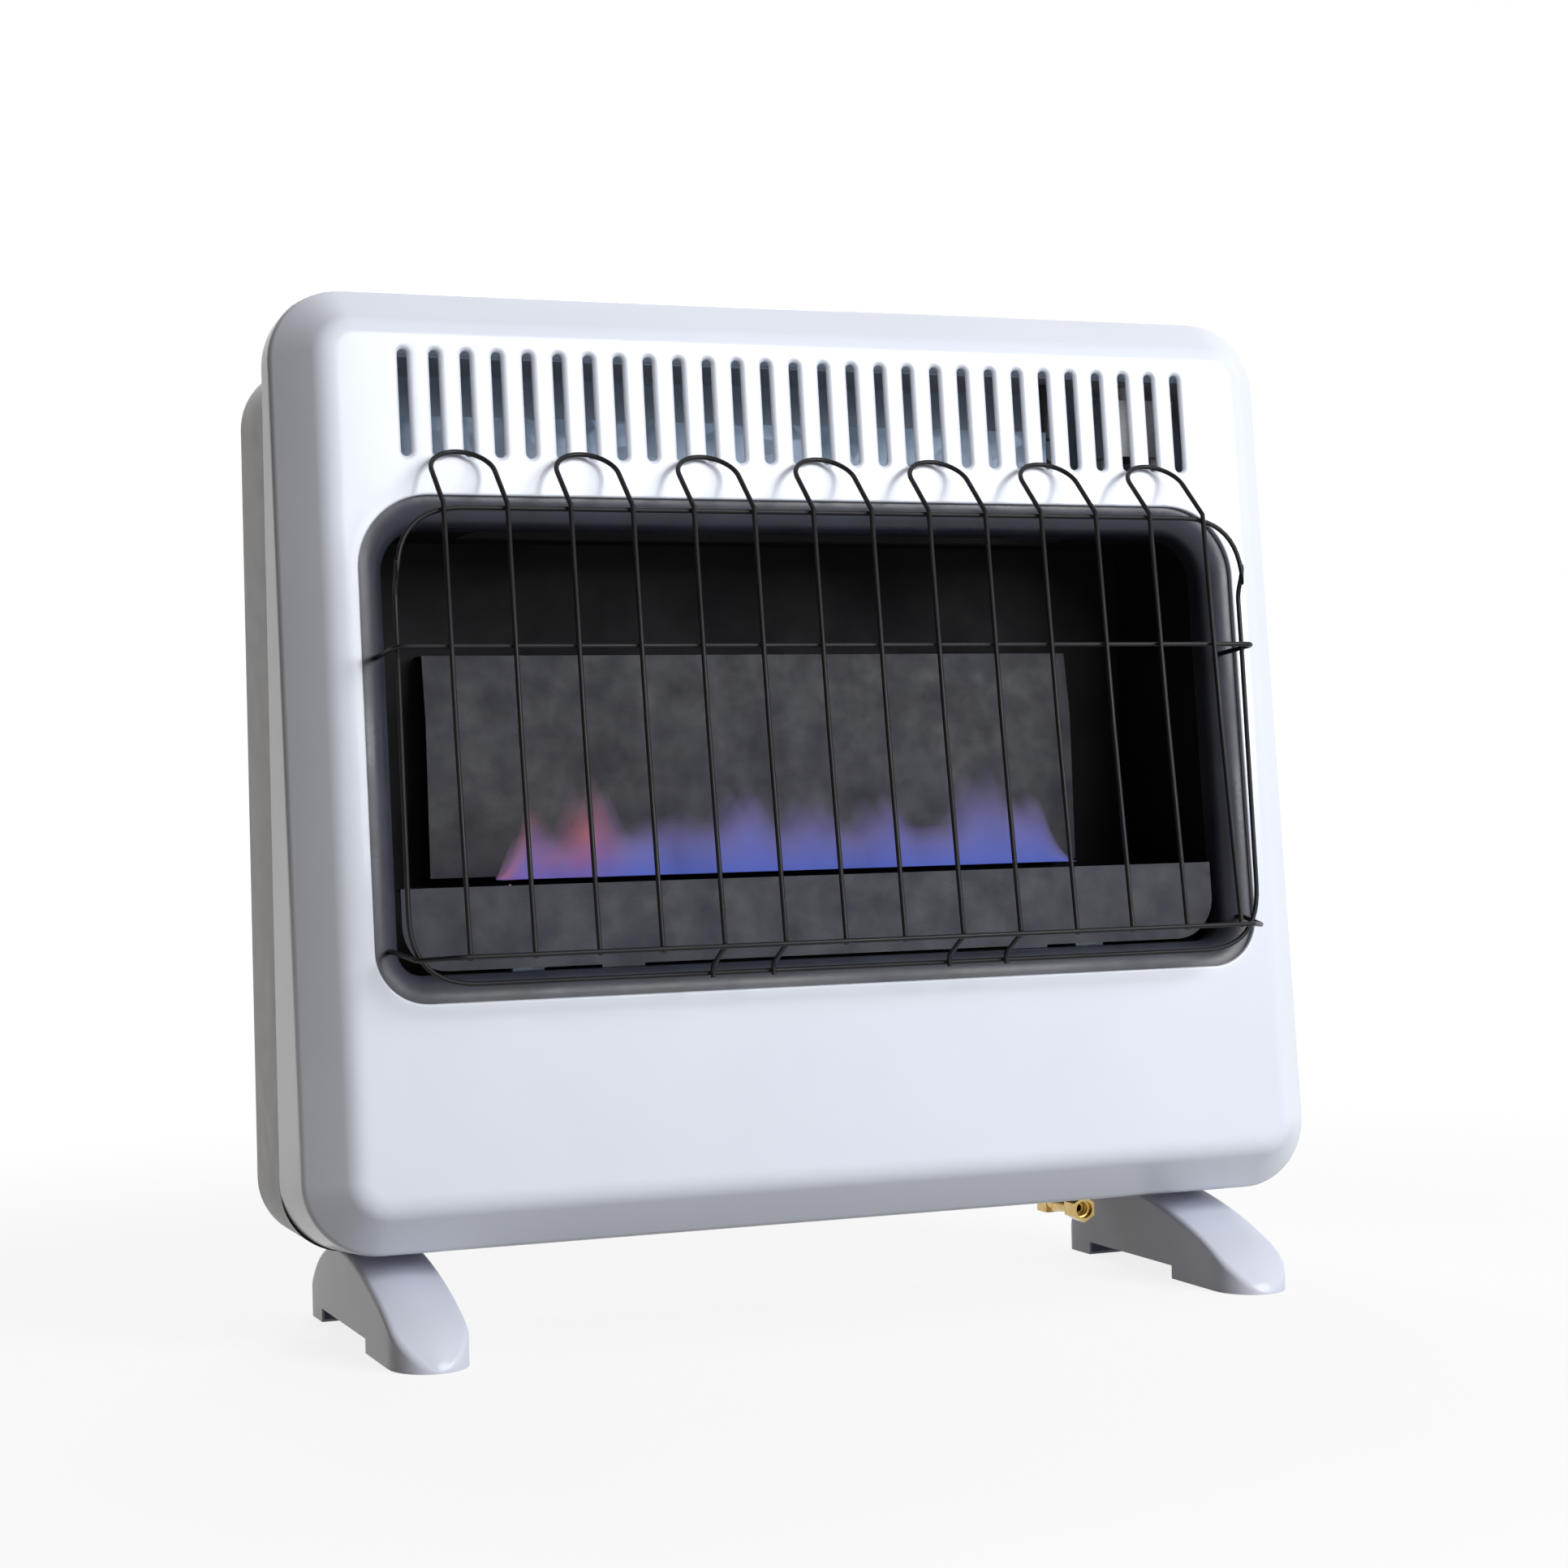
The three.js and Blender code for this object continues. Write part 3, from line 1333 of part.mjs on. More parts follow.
function addFirebox() {
  addPiece(heater, 'firebox', firebox(), blackEnamel);
  addPiece(heater, 'reflector', reflector(), greyEnamel);
  addPiece(heater, 'heat_deflector', heatDeflector(), steel);
  addPiece(heater, 'burner_tube', burnerTube(), steel);
  addPiece(heater, 'burner_venturi', burnerVenturi(), steel);
  addPiece(heater, 'orifice_holder', orificeHolder(), brass);
  addPiece(heater, 'burner_bracket_left', burnerBracket(-bracketSpread), steel);
  addPiece(heater, 'burner_bracket_right', burnerBracket(bracketSpread), steel);
  addPiece(heater, 'pilot_bracket', pilotBracket(), steel);
  addPiece(heater, 'pilot_burner', pilotBurner(), brass);
  addPiece(heater, 'thermocouple', thermocouple(), copper);
  addPiece(heater, 'spark_electrode', sparkElectrode(), ceramic);
}

function addControls() {
  addPiece(heater, 'gas_valve', gasValve(), castAlloy);
  addPiece(heater, 'valve_stem', valveStem(), steel);
  addPiece(heater, 'control_knob', controlKnob(), blackPlastic);
  addPiece(heater, 'control_bezel', controlBezel(), blackPlastic);
  addPiece(heater, 'igniter_body', igniterBody(), blackPlastic);
  addPiece(heater, 'igniter_nut', igniterNut(), steel);
  addPiece(heater, 'igniter_button', igniterButton(), blackPlastic);
}

function addGasTrain() {
  addPiece(heater, 'pressure_regulator', pressureRegulator(), castAlloy);
  addPiece(heater, 'inlet_elbow', inletElbow(), brass);
  addPiece(heater, 'inlet_pipe', inletPipe(), brass);
  addPiece(heater, 'inlet_nut', inletNut(), brass);
  addPiece(heater, 'supply_pipe', supplyPipe(), steel);
  addPiece(heater, 'burner_pipe', burnerPipe(), steel);
  addPiece(heater, 'pilot_tube', pilotTube(), copper);
  addPiece(heater, 'ignition_lead', ignitionLead(), blackPlastic);
  addPiece(heater, 'thermostat_bulb', thermostatBulb(), copper);
  addPiece(heater, 'bulb_clip', bulbClip(), steel);
  addPiece(heater, 'capillary', capillary(), copper);
}

addLeaningPieces();
addCasing();
addFirebox();
addControls();
addGasTrain();

// Stands the heater on the ground plane with the middle of its footprint at the origin.
const extent = new THREE.Box3().setFromObject(heater, true);
heater.position.set(0, -(extent.min.y + extent.max.y) / 2, -extent.min.z);

export default heater;
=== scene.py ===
import json
import math

import bmesh
import bpy
from mathutils import Matrix, Vector

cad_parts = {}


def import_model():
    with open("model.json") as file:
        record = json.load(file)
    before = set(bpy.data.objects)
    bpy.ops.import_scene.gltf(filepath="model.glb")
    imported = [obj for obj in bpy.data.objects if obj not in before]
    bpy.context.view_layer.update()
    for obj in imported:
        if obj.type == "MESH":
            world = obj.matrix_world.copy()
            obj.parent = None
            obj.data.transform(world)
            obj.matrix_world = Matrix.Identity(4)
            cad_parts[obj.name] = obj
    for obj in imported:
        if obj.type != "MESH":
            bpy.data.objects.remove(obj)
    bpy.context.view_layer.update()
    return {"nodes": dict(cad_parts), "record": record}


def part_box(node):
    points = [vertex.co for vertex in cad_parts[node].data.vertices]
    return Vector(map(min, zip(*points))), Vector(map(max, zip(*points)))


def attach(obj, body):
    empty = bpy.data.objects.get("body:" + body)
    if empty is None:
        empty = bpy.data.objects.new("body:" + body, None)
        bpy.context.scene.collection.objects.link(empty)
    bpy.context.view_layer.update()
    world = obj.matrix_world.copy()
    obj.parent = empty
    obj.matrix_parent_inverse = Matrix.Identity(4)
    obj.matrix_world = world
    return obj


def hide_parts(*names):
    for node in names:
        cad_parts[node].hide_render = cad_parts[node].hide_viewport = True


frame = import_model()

# Sizes in metres, as in the CAD source. A place on the front is x, a depth behind its face and a slope
# upwards; a place on the upright pieces is x, y and z.
SHEET = 0.0012
LEAN = math.radians(5.1)
CLEARANCE = 0.0003
CUT_MARGIN = 3 * SHEET

CORNER_STEPS = 18
BEND_STEPS = 8
SMALL_BEND_STEPS = 4
HOLE_STEPS = 24

# Points nearer than this are welded, edges nearer than this to the face's plane lie in it, and no division is
# by less than this
WELD = 1e-6
IN_PLANE = 1e-7
NOT_ZERO = 1e-9

# Edges sharper than this stay hard, on sheet and solids, on wires and on the flames
HARD_EDGE = math.radians(38)
WIRE_EDGE = math.radians(50)
FLAME_EDGE = math.radians(120)

PANEL_HALF = 0.370
PANEL_SLOPE = 0.637
PANEL_CORNER = 0.050
BEVEL_WIDTH = 0.029
BEVEL_DEPTH = 0.0315
CREASE_RUN = 0.004
FACE_BEND_RUN = 0.009
FACE_MARGIN = 0.0105
JUNCTION_DEPTH = 0.106

SLOT_COUNT = 28
SLOT_PITCH = 0.0213
SLOT_WIDTH = 0.0065
SLOT_LOW = 0.5192
SLOT_HIGH = 0.5904
SLOT_MARGIN = 0.0055
SLOT_END_STEPS = 12
# The middles of a slot's round ends, and the angle at which each one's outline starts
SLOT_ENDS = ((SLOT_HIGH - SLOT_WIDTH / 2, 0), (SLOT_LOW + SLOT_WIDTH / 2, math.pi))
# How much wider than the slot its dished rim is, at each depth
SLOT_DISH = ((0.0035, 0.0), (0.0026, 0.00005), (0.0019, 0.0003), (0.0012, 0.0008), (0.0006, 0.0015),
             (0.0002, 0.0022), (0.0, 0.003))

WINDOW_HALF = 0.3232
WINDOW_LOW = 0.1603
WINDOW_HIGH = 0.4932
WINDOW_CORNER = 0.035
WINDOW_TOP_CORNER = 0.050
WINDOW_LIP = 0.004
WINDOW_BEND_RUN = 0.0016
WINDOW_MARGIN = 0.007

SURROUND_OVERLAP = 0.011
SURROUND_INSET = 0.019
SURROUND_DEPTH = 0.031
SURROUND_ROUND_SHARE = 0.6

SEAM_STEP = 0.0006
CABINET_FRONT = JUNCTION_DEPTH + CLEARANCE
CABINET_BACK = 0.187
CABINET_LOW = SEAM_STEP - JUNCTION_DEPTH * math.tan(LEAN)
CABINET_TOP = 0.592
CABINET_CORNER = 0.044
CABINET_BEND = 0.005
INTAKE_COUNT = 9
INTAKE_SIZE = (0.034, 0.005)
INTAKE_PITCH = 0.044
INTAKE_Y = 0.152
KEYHOLE_PLACES = ((-0.2, 0.530), (0.2, 0.530))
KEYHOLE_HEAD = 0.006
KEYHOLE_NECK = 0.003
KEYHOLE_RISE = 0.014
INLET_PLACE = (0.220, 0.150)
INLET_HOLE = 0.0075

DECK_LIP = 0.0055
DECK_LIP_FOOT = 0.006
DECK_LIP_BEND_RUN = 0.002
DECK_LIP_SHEET = SHEET * 0.9

FOOT_SPREAD = 0.299
FOOT_HALF = 0.026
FOOT_TOE = -0.030
FOOT_HEEL = 0.232
FOOT_TOP = (0.115, 0.158)
FOOT_TOE_ROUND = 0.030
FOOT_HEEL_ROUND = 0.012
# The handles of the foot's front and rear curves, as shares of the way across and down
FOOT_FRONT_SHARES = ((0.31, 0.08), (0.972, 0.475))
FOOT_REAR_SHARES = ((0.567, 0.12), (0.973, 0.5))
FOOT_WALL = 0.0024
FOOT_EDGE = 0.0045
FOOT_EDGE_SHARE = 0.6
FOOT_EDGE_STEPS = 6
FOOT_CROWN = 0.0018
FOOT_CROWN_SHARE = 0.4
FOOT_STATIONS = 40
# The least width and height of a slice
FOOT_LEAST = 1e-5
FOOT_NOTCH = (0.062, 0.191)
FOOT_NOTCH_HEIGHT = 0.0095
STAND_HEIGHT = 0.0697

WIRE_RADIUS = 0.0017
WIRE_SIDES = 12
LOOP_COUNT = 7
UPRIGHT_PITCH = 2 * SLOT_PITCH
UPRIGHT_SLOPES = (0.185, 0.330, 0.479)
UPRIGHT_STANDOFFS = (0.060, 0.051, 0.045)
LOOP_TOP = 0.521
LOOP_TOP_STANDOFF = 0.005
LOOP_STEPS = 24
LONG_LOOPS = (2, 4)
LONG_LEG_DROP = 0.168
RAIL_WELD = 0.0043
BOTTOM_RAIL = 0.187
BOTTOM_RAIL_HALF = 0.284
BOTTOM_RAIL_ELBOW = 0.306
BOTTOM_RAIL_ELBOW_STANDOFF = 0.038
MIDDLE_RAIL = 0.3863
RAIL_HOLE = 0.3125
RAIL_HOLE_SLOPE = 0.195
RAIL_INSERTION = 0.018
RAIL_BEND_RUN = 0.010
RING_HALF = 0.3082
RING_LOW = 0.171
RING_LOW_STANDOFF = 0.030
RING_SIDE_STANDOFF = 0.033
RING_HIGH = 0.477
RING_CORNERS = (0.045, 0.046)
RING_CORNER_STEPS = 12
RING_JOGGLE = (0.424, 0.438)
RING_JOGGLE_RUN = 0.005

# The flames over the burner: where they run along x, and each peak's place, width and height
FLAME_RUN = (-0.224, 0.206)
FLAME_END = 0.022
FLAME_END_SHARE = 0.02
FLAME_BASE = 0.2365
FLAME_BED = 0.024
FLAME_PEAKS = ((-0.205, 0.012, 0.030), (-0.157, 0.013, 0.046), (-0.112, 0.018, 0.010), (-0.088, 0.020, 0.018),
               (-0.044, 0.016, 0.038), (0.006, 0.016, 0.032), (0.058, 0.014, 0.030), (0.094, 0.016, 0.008),
               (0.138, 0.016, 0.050), (0.172, 0.014, 0.028))
FLAME_SHEET = 0.0002
FLAME_COLUMNS = 220
FLAME_ROWS = 14
# How far a curtain waves to and fro, how far its top leans back, and its wave along x and with its shift
FLAME_SWAY = 0.004
FLAME_LEAN = 0.006
FLAME_WAVE = 90
FLAME_SHIFT_WAVE = 400
# Each curtain's y, the shift of its peaks along x and the scale of their heights
FLAME_CURTAINS = ((0.068, 0.0, 1.0), (0.072, 0.009, 0.8), (0.077, -0.011, 0.9))

# The base point of the CAD source's own places, and the turn of its leaning pieces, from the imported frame
ORIGIN = Vector((0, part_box("front_panel")[1].y - JUNCTION_DEPTH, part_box("left_foot")[0].z + STAND_HEIGHT))
LEANING = Matrix.Translation(ORIGIN) @ Matrix.Rotation(-LEAN, 4, "X")
UPRIGHT = Matrix.Translation(ORIGIN)
FRONTWARD = Vector((0, -1, 0))

# The camera, in the photograph's own frame of 1932 by 1932
CAMERA_PLACE = ORIGIN + Vector((-0.7671, -1.8295, 0.2881))
CAMERA_YAW = math.radians(21.51)
CAMERA_PITCH = math.radians(0.24)
CAMERA_ROLL = math.radians(-1.33)
FOCAL_PIXELS = 3618
PHOTO_PIXELS = 1932
SENSOR_MM = 36

# How near the heater the floor starts to turn into the white background, and how much it glows there;
# its tone for the light that it throws back, and the two tones that the camera sees
FLOOR_SIZE = 30
FLOOR_FADE = (0.55, 1.5)
FLOOR_GLOW = 0.84
FLOOR_BOUNCE = 0.15
FLOOR_TONES = (0.90, 0.92)

# The studio: a dim warm side on the left, an even pale one on the right, where one turns into the other,
# and how much the front and the back count as the right
ROOM_LEFT = (0.055, 0.045, 0.032)
ROOM_RIGHT = (0.36, 0.365, 0.38)
ROOM_SIDES = (-0.4, 0.5)
ROOM_WRAP = 0.6

# Each lamp's name, place, target, size, power in watts and colour
LAMPS = (("key", (1.35, -2.75, 1.5), (0, 0, 0.35), (2.0, 1.4), 99, (0.96, 0.98, 1.0)),
         ("back", (0.3, 2.2, 2.4), (0, 0, 0.3), (1.6, 1.2), 34, (1.0, 1.0, 1.0)),
         ("fill", (-2.4, -0.9, 0.7), (0, 0, 0.35), (1.2, 1.2), 1.5, (1.0, 0.84, 0.68)))

# The part of a noise's range that most of it lies in
NOISE_RANGE = (0.3, 0.7)
# The heights between which the painted shade on the back wall's inside turns into its bare top, and their
# tones
PAINTED_SHADE_HEIGHTS = (0.57, 0.595)
PAINTED_SHADE = (0.02, 0.02, 0.02)
BARE_WALL = (0.66, 0.78, 0.92)
# A face whose normal's y is below this looks to the front
LOOKS_FRONT = -0.5
# Where along x the flames turn from the warm patch at the pilot's end to clear blue, and the patch's strength
WARM_SIDES = (-0.165, -0.125)
WARM_SHARE = 0.9


def linked(name, data):
    """A new object with the given data, in the scene."""
    thing = bpy.data.objects.new(name, data)
    bpy.context.scene.collection.objects.link(thing)
    return thing


def evaluated(thing):
    """A mesh of the object as its modifiers or its curve make it."""
    graph = bpy.context.evaluated_depsgraph_get()
    return bpy.data.meshes.new_from_object(thing.evaluated_get(graph))


def shade(piece, sharp=HARD_EDGE):
    """Shades a piece smoothly, apart from its hard edges."""
    piece.data.polygons.foreach_set("use_smooth", [True] * len(piece.data.polygons))
    piece.data.set_sharp_from_angle(angle=sharp)


def quarter_turn(steps):
    """The sine and cosine of each even step of a quarter turn, without its start."""
    turns = [step / steps * math.pi / 2 for step in range(1, steps + 1)]
    return [(math.sin(turn), math.cos(turn)) for turn in turns]


def rounded_ring(half, low, high, corner, place, top_corner=None):
    """A rectangle with round corners, as points from place(across, up)."""
    top = corner if top_corner is None else top_corner
    centres = ((half - top, high - top), (top - half, high - top),
               (corner - half, low + corner), (half - corner, low + corner))
    ring = []
    for quarter, (across, up) in enumerate(centres):
        radius = top if quarter < 2 else corner
        for step in range(CORNER_STEPS + 1):
            angle = (quarter + step / CORNER_STEPS) * math.pi / 2
            ring.append(place(across + radius * math.cos(angle), up + radius * math.sin(angle)))
    return ring


def round_corners(points, runs, steps=BEND_STEPS, closed=False):
    """Replaces each corner that has a bend run by a smooth curve."""
    count = len(points)
    smooth = []
    for i, (corner, run) in enumerate(zip(points, runs)):
        if not run or (not closed and i in (0, count - 1)):
            smooth.append(corner.copy())
            continue
        before = corner + (points[i - 1] - corner).normalized() * run
        after = corner + (points[(i + 1) % count] - corner).normalized() * run
        for step in range(steps + 1):
            share = step / steps
            smooth.append(before.lerp(corner, share).lerp(corner.lerp(after, share), share))
    return smooth


def loft(work, rings, closed=True):
    """Adds the skin that joins rings, or open runs, of equal counts, and returns their vertices."""
    made = [[work.verts.new(point) for point in ring] for ring in rings]
    for here, after in zip(made, made[1:]):
        for i in range(len(here) if closed else len(here) - 1):
            j = (i + 1) % len(here)
            work.faces.new((here[i], here[j], after[j], after[i]))
    return made


def turn_out(work, outward=None):
    """Welds the skin and makes its faces point outwards, or along the given direction where it is open."""
    bmesh.ops.remove_doubles(work, verts=work.verts, dist=WELD)
    bmesh.ops.recalc_face_normals(work, faces=work.faces)
    if outward:
        largest = max(work.faces, key=lambda face: abs(face.normal.dot(outward)) * face.calc_area())
        if largest.normal.dot(outward) < 0:
            bmesh.ops.reverse_faces(work, faces=work.faces)


def finished(name, work, place=UPRIGHT, thickness=0, sharp=HARD_EDGE):
    """Turns a bmesh into a piece in the frame, as a sheet that is thick inwards if a thickness is given."""
    mesh = bpy.data.meshes.new(name)
    work.to_mesh(mesh)
    work.free()
    mesh.transform(place)
    piece = linked(name, mesh)
    if thickness:
        modifier = piece.modifiers.new("sheet", "SOLIDIFY")
        modifier.thickness = thickness
        modifier.offset = -1
        modifier.use_rim = True
        piece.data = evaluated(piece)
        piece.modifiers.clear()
    shade(piece, sharp)
    return piece


def dress(piece, material, slot, *nodes):
    """Gives a piece of the casing its material, and hides the CAD nodes that it stands for. The slot is not
    used.
    """
    piece.data.materials.clear()
    piece.data.materials.append(material)
    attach(piece, "casing")
    if nodes:
        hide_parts(*nodes)


# Materials


class Tree:
    """A short way to write a node tree."""

    def __init__(self, tree):
        self.tree = tree

    def add(self, kind, inputs=(), **settings):
        """Adds a node, with its inputs by name or in their order."""
        node = self.tree.nodes.new(kind)
        for key, value in settings.items():
            setattr(node, key, value)
        self.feed(node, inputs if isinstance(inputs, dict) else dict(enumerate(inputs)))
        return node

    def feed(self, node, inputs):
        """Links each input to another node's output, or sets it to a number, a Vector or a colour's tuple."""
        for key, value in inputs.items():
            socket = node.inputs[key]
            if isinstance(value, bpy.types.NodeSocket):
                self.tree.links.new(value, socket)
            else:
                socket.default_value = (*value, 1) if isinstance(value, tuple) else value

    def coordinates(self, kind):
        return self.add("ShaderNodeTexCoord").outputs[kind]

    def ray(self, kind):
        return self.add("ShaderNodeLightPath").outputs[kind]

    def axis(self, vector, name):
        return self.add("ShaderNodeSeparateXYZ", {"Vector": vector}).outputs[name]

    def calc(self, operation, *values):
        return self.add("ShaderNodeMath", values, operation=operation).outputs["Value"]

    def mix(self, factor, first, second, blend="MIX"):
        inputs = {"Factor": factor, "A": first, "B": second}
        return self.add("ShaderNodeMix", inputs, data_type="RGBA", blend_type=blend).outputs["Result"]

    def between(self, value, start, end, low=0.0, high=1.0, curve="SMOOTHSTEP"):
        """Takes a value from the range start to end into the range low to high, and holds it there."""
        inputs = {"Value": value, "From Min": start, "From Max": end, "To Min": low, "To Max": high}
        return self.add("ShaderNodeMapRange", inputs, interpolation_type=curve).outputs["Result"]


class Paint(Tree):
    """A new material's node tree, with the textures that its look is made of."""

    def __init__(self, name):
        self.material = bpy.data.materials.new(name)
        self.material.use_nodes = True
        super().__init__(self.material.node_tree)
        self.shader = self.tree.nodes["Principled BSDF"]
        self.place = self.coordinates("Object")

    def noise(self, scale, detail, rough=0.55, stretch=None):
        place = self.place
        if stretch:
            mapping = self.add("ShaderNodeMapping", {"Vector": place, "Scale": Vector(stretch)})
            place = mapping.outputs["Vector"]
        inputs = {"Scale": scale, "Detail": detail, "Roughness": rough, "Vector": place}
        return self.add("ShaderNodeTexNoise", inputs).outputs["Fac"]

    def cells(self, scale):
        return self.add("ShaderNodeTexVoronoi", {"Scale": scale, "Vector": self.place}).outputs["Color"]

    def ramp(self, value, stops):
        node = self.add("ShaderNodeValToRGB", {"Fac": value})
        elements = node.color_ramp.elements
        for element, (at, color) in zip(elements, (stops[0], stops[-1])):
            element.position = at
            element.color = (*color, 1)
        for at, color in stops[1:-1]:
            elements.new(at).color = (*color, 1)
        return node.outputs["Color"]

    def tones(self, value, low, high, ends=NOISE_RANGE):
        """A colour from low to high, as the value goes from one end to the other."""
        return self.ramp(value, [(ends[0], low), (ends[1], high)])

    def spread(self, value, low, high):
        """A number from low to high, as a noise goes through its range."""
        return self.between(value, *NOISE_RANGE, low, high, "LINEAR")

    def bump(self, value, height, strength, under=None):
        inputs = {"Height": value, "Distance": height, "Strength": strength}
        if under:
            inputs["Normal"] = under
        return self.add("ShaderNodeBump", inputs).outputs["Normal"]

    def finish(self, **inputs):
        """Feeds the shader and returns the material."""
        self.feed(self.shader, {name.replace("_", " "): value for name, value in inputs.items()})
        return self.material


def grey(level):
    return (level, level, level)


def enamel(name, light, dark, gloss, coat, specular):
    """Baked white enamel: a clear gloss over a colour that hardly varies, with a faint orange peel."""
    paint = Paint(name)
    peel = paint.bump(paint.noise(scale=190, detail=2, rough=0.4), height=0.00035, strength=0.06)
    waves = paint.bump(paint.noise(scale=26, detail=1, rough=0.4), height=0.0016, strength=0.12, under=peel)
    return paint.finish(
        Base_Color=paint.tones(paint.noise(scale=7, detail=2), dark, light),
        Roughness=paint.spread(paint.noise(scale=60, detail=2), gloss, gloss + 0.015),
        Normal=waves, Specular_IOR_Level=specular,
        Coat_Normal=waves, Coat_Weight=coat, Coat_Roughness=0.08)


def cabinet_enamel(name, light, dark):
    """White enamel outside; inside, the back wall carries painted shade, dark low down, and is bare at its
    top.
    """
    paint = Paint(name)
    outside = paint.tones(paint.noise(scale=7, detail=2), dark, light)
    # Painted shade: the inside of the back wall is darker towards its bottom
    height = paint.between(paint.axis(paint.place, "Z"), *PAINTED_SHADE_HEIGHTS)
    wall = paint.tones(height, PAINTED_SHADE, BARE_WALL, ends=(0.0, 1.0))
    inside = paint.calc("LESS_THAN", paint.axis(paint.coordinates("Normal"), "Y"), LOOKS_FRONT)
    return paint.finish(
        Base_Color=paint.mix(inside, outside, wall),
        Roughness=paint.spread(paint.noise(scale=60, detail=4), 0.34, 0.42),
        Normal=paint.bump(paint.noise(scale=190, detail=2, rough=0.4), height=0.00035, strength=0.25),
        Specular_IOR_Level=0.12)


def black_enamel(name, tone, gloss, specular=0.5):
    """Dark baked enamel with dust and soft smudges."""
    paint = Paint(name)
    dusty = tuple(channel * 1.7 for channel in tone)
    return paint.finish(
        Base_Color=paint.tones(paint.noise(scale=22, detail=5), tone, dusty, ends=(0.35, 0.75)),
        Roughness=paint.spread(paint.noise(scale=14, detail=5, rough=0.6), gloss, gloss + 0.22),
        Normal=paint.bump(paint.noise(scale=260, detail=3), height=0.0003, strength=0.3),
        Specular_IOR_Level=specular)


def matt_plate(name, low, high, rough=0.6):
    """A plain heated plate: soft clouds of tone and a fine grain."""
    paint = Paint(name)
    cloud = paint.noise(scale=9, detail=4, rough=0.6, stretch=(1, 1, 2.5))
    return paint.finish(
        Base_Color=paint.tones(cloud, low, high, ends=(0.3, 0.72)),
        Roughness=paint.spread(paint.noise(scale=40, detail=5), rough - 0.08, rough + 0.12),
        Normal=paint.bump(paint.noise(scale=700, detail=3), height=0.0002, strength=0.4),
        Specular_IOR_Level=0.36)


def spangled(name, low, high):
    """Galvanised sheet, whose crystals differ in tone and gloss."""
    paint = Paint(name)
    cells = paint.cells(scale=70)
    return paint.finish(
        Base_Color=paint.tones(cells, low, high, ends=(0.2, 0.8)), Roughness=paint.spread(cells, 0.3, 0.5),
        Normal=paint.bump(paint.noise(scale=300, detail=3), height=0.0002, strength=0.3), Metallic=0.85)


def shaded_galvanised(name, low, high):
    """Galvanised sheet with painted shade that darkens it towards its upper edge, in uneven patches."""
    paint = Paint(name)
    cells = paint.cells(scale=70)
    patches = paint.spread(paint.noise(scale=24, detail=3), -0.3, 0.3)
    level = paint.calc("ADD", paint.axis(paint.coordinates("Generated"), "Z"), patches)
    # Painted shade: darker towards the sheet's upper edge, in uneven patches
    shade_tone = paint.tones(level, high, low, ends=(0.45, 0.95))
    speckle = paint.tones(cells, grey(0.72), grey(1.0), ends=(0.2, 0.8))
    return paint.finish(Base_Color=paint.mix(1.0, shade_tone, speckle, "MULTIPLY"),
                        Roughness=paint.spread(cells, 0.35, 0.55), Metallic=0.85)


def metal(name, low, high, rough=0.32, scale=180):
    """Plain metal with fine working marks."""
    paint = Paint(name)
    marks = paint.noise(scale, detail=4, rough=0.6)
    return paint.finish(Base_Color=paint.tones(marks, low, high), Metallic=1.0,
                        Roughness=paint.spread(marks, rough - 0.06, rough + 0.12),
                        Normal=paint.bump(marks, height=0.0001, strength=0.35))


def plastic(name, low, high, rough=0.4, grain=900):
    """Moulded plastic with a fine spark-eroded grain."""
    paint = Paint(name)
    return paint.finish(
        Base_Color=paint.tones(paint.noise(scale=35, detail=3), low, high),
        Roughness=paint.spread(paint.noise(scale=120, detail=3), rough - 0.05, rough + 0.1),
        Normal=paint.bump(paint.noise(grain, detail=2), height=0.0001, strength=0.5))


def burning_gas(name):
    """A clear blue flame: strongest low down, fading out upwards, with a warmer patch at the pilot's end."""
    paint = Paint(name)
    rise = paint.add("ShaderNodeAttribute", attribute_name="rise").outputs["Fac"]
    cool = paint.ramp(rise, [(0.0, (0.10, 0.14, 0.52)), (0.5, (0.16, 0.16, 0.44)), (1.0, (0.20, 0.16, 0.30))])
    warm = paint.ramp(rise, [(0.0, (0.20, 0.11, 0.36)), (0.5, (0.50, 0.14, 0.13)), (1.0, (0.44, 0.16, 0.12))])
    side = paint.between(paint.axis(paint.place, "X"), *WARM_SIDES, WARM_SHARE, 0.0)
    patch = paint.calc("MULTIPLY", side, paint.spread(paint.noise(scale=26, detail=2), 0.2, 1.0))
    fade = paint.ramp(rise, [(0.0, grey(0.36)), (0.5, grey(0.27)), (0.8, grey(0.12)), (1.0, grey(0.0))])
    wisps = paint.spread(paint.noise(scale=34, detail=2, rough=0.4, stretch=(1, 1, 0.35)), 0.45, 1.0)
    return paint.finish(
        Base_Color=grey(0.0), Roughness=1.0, Specular_IOR_Level=0.0, Emission_Strength=1.0,
        Emission_Color=paint.mix(patch, cool, warm), Alpha=paint.calc("MULTIPLY", fade, wisps))


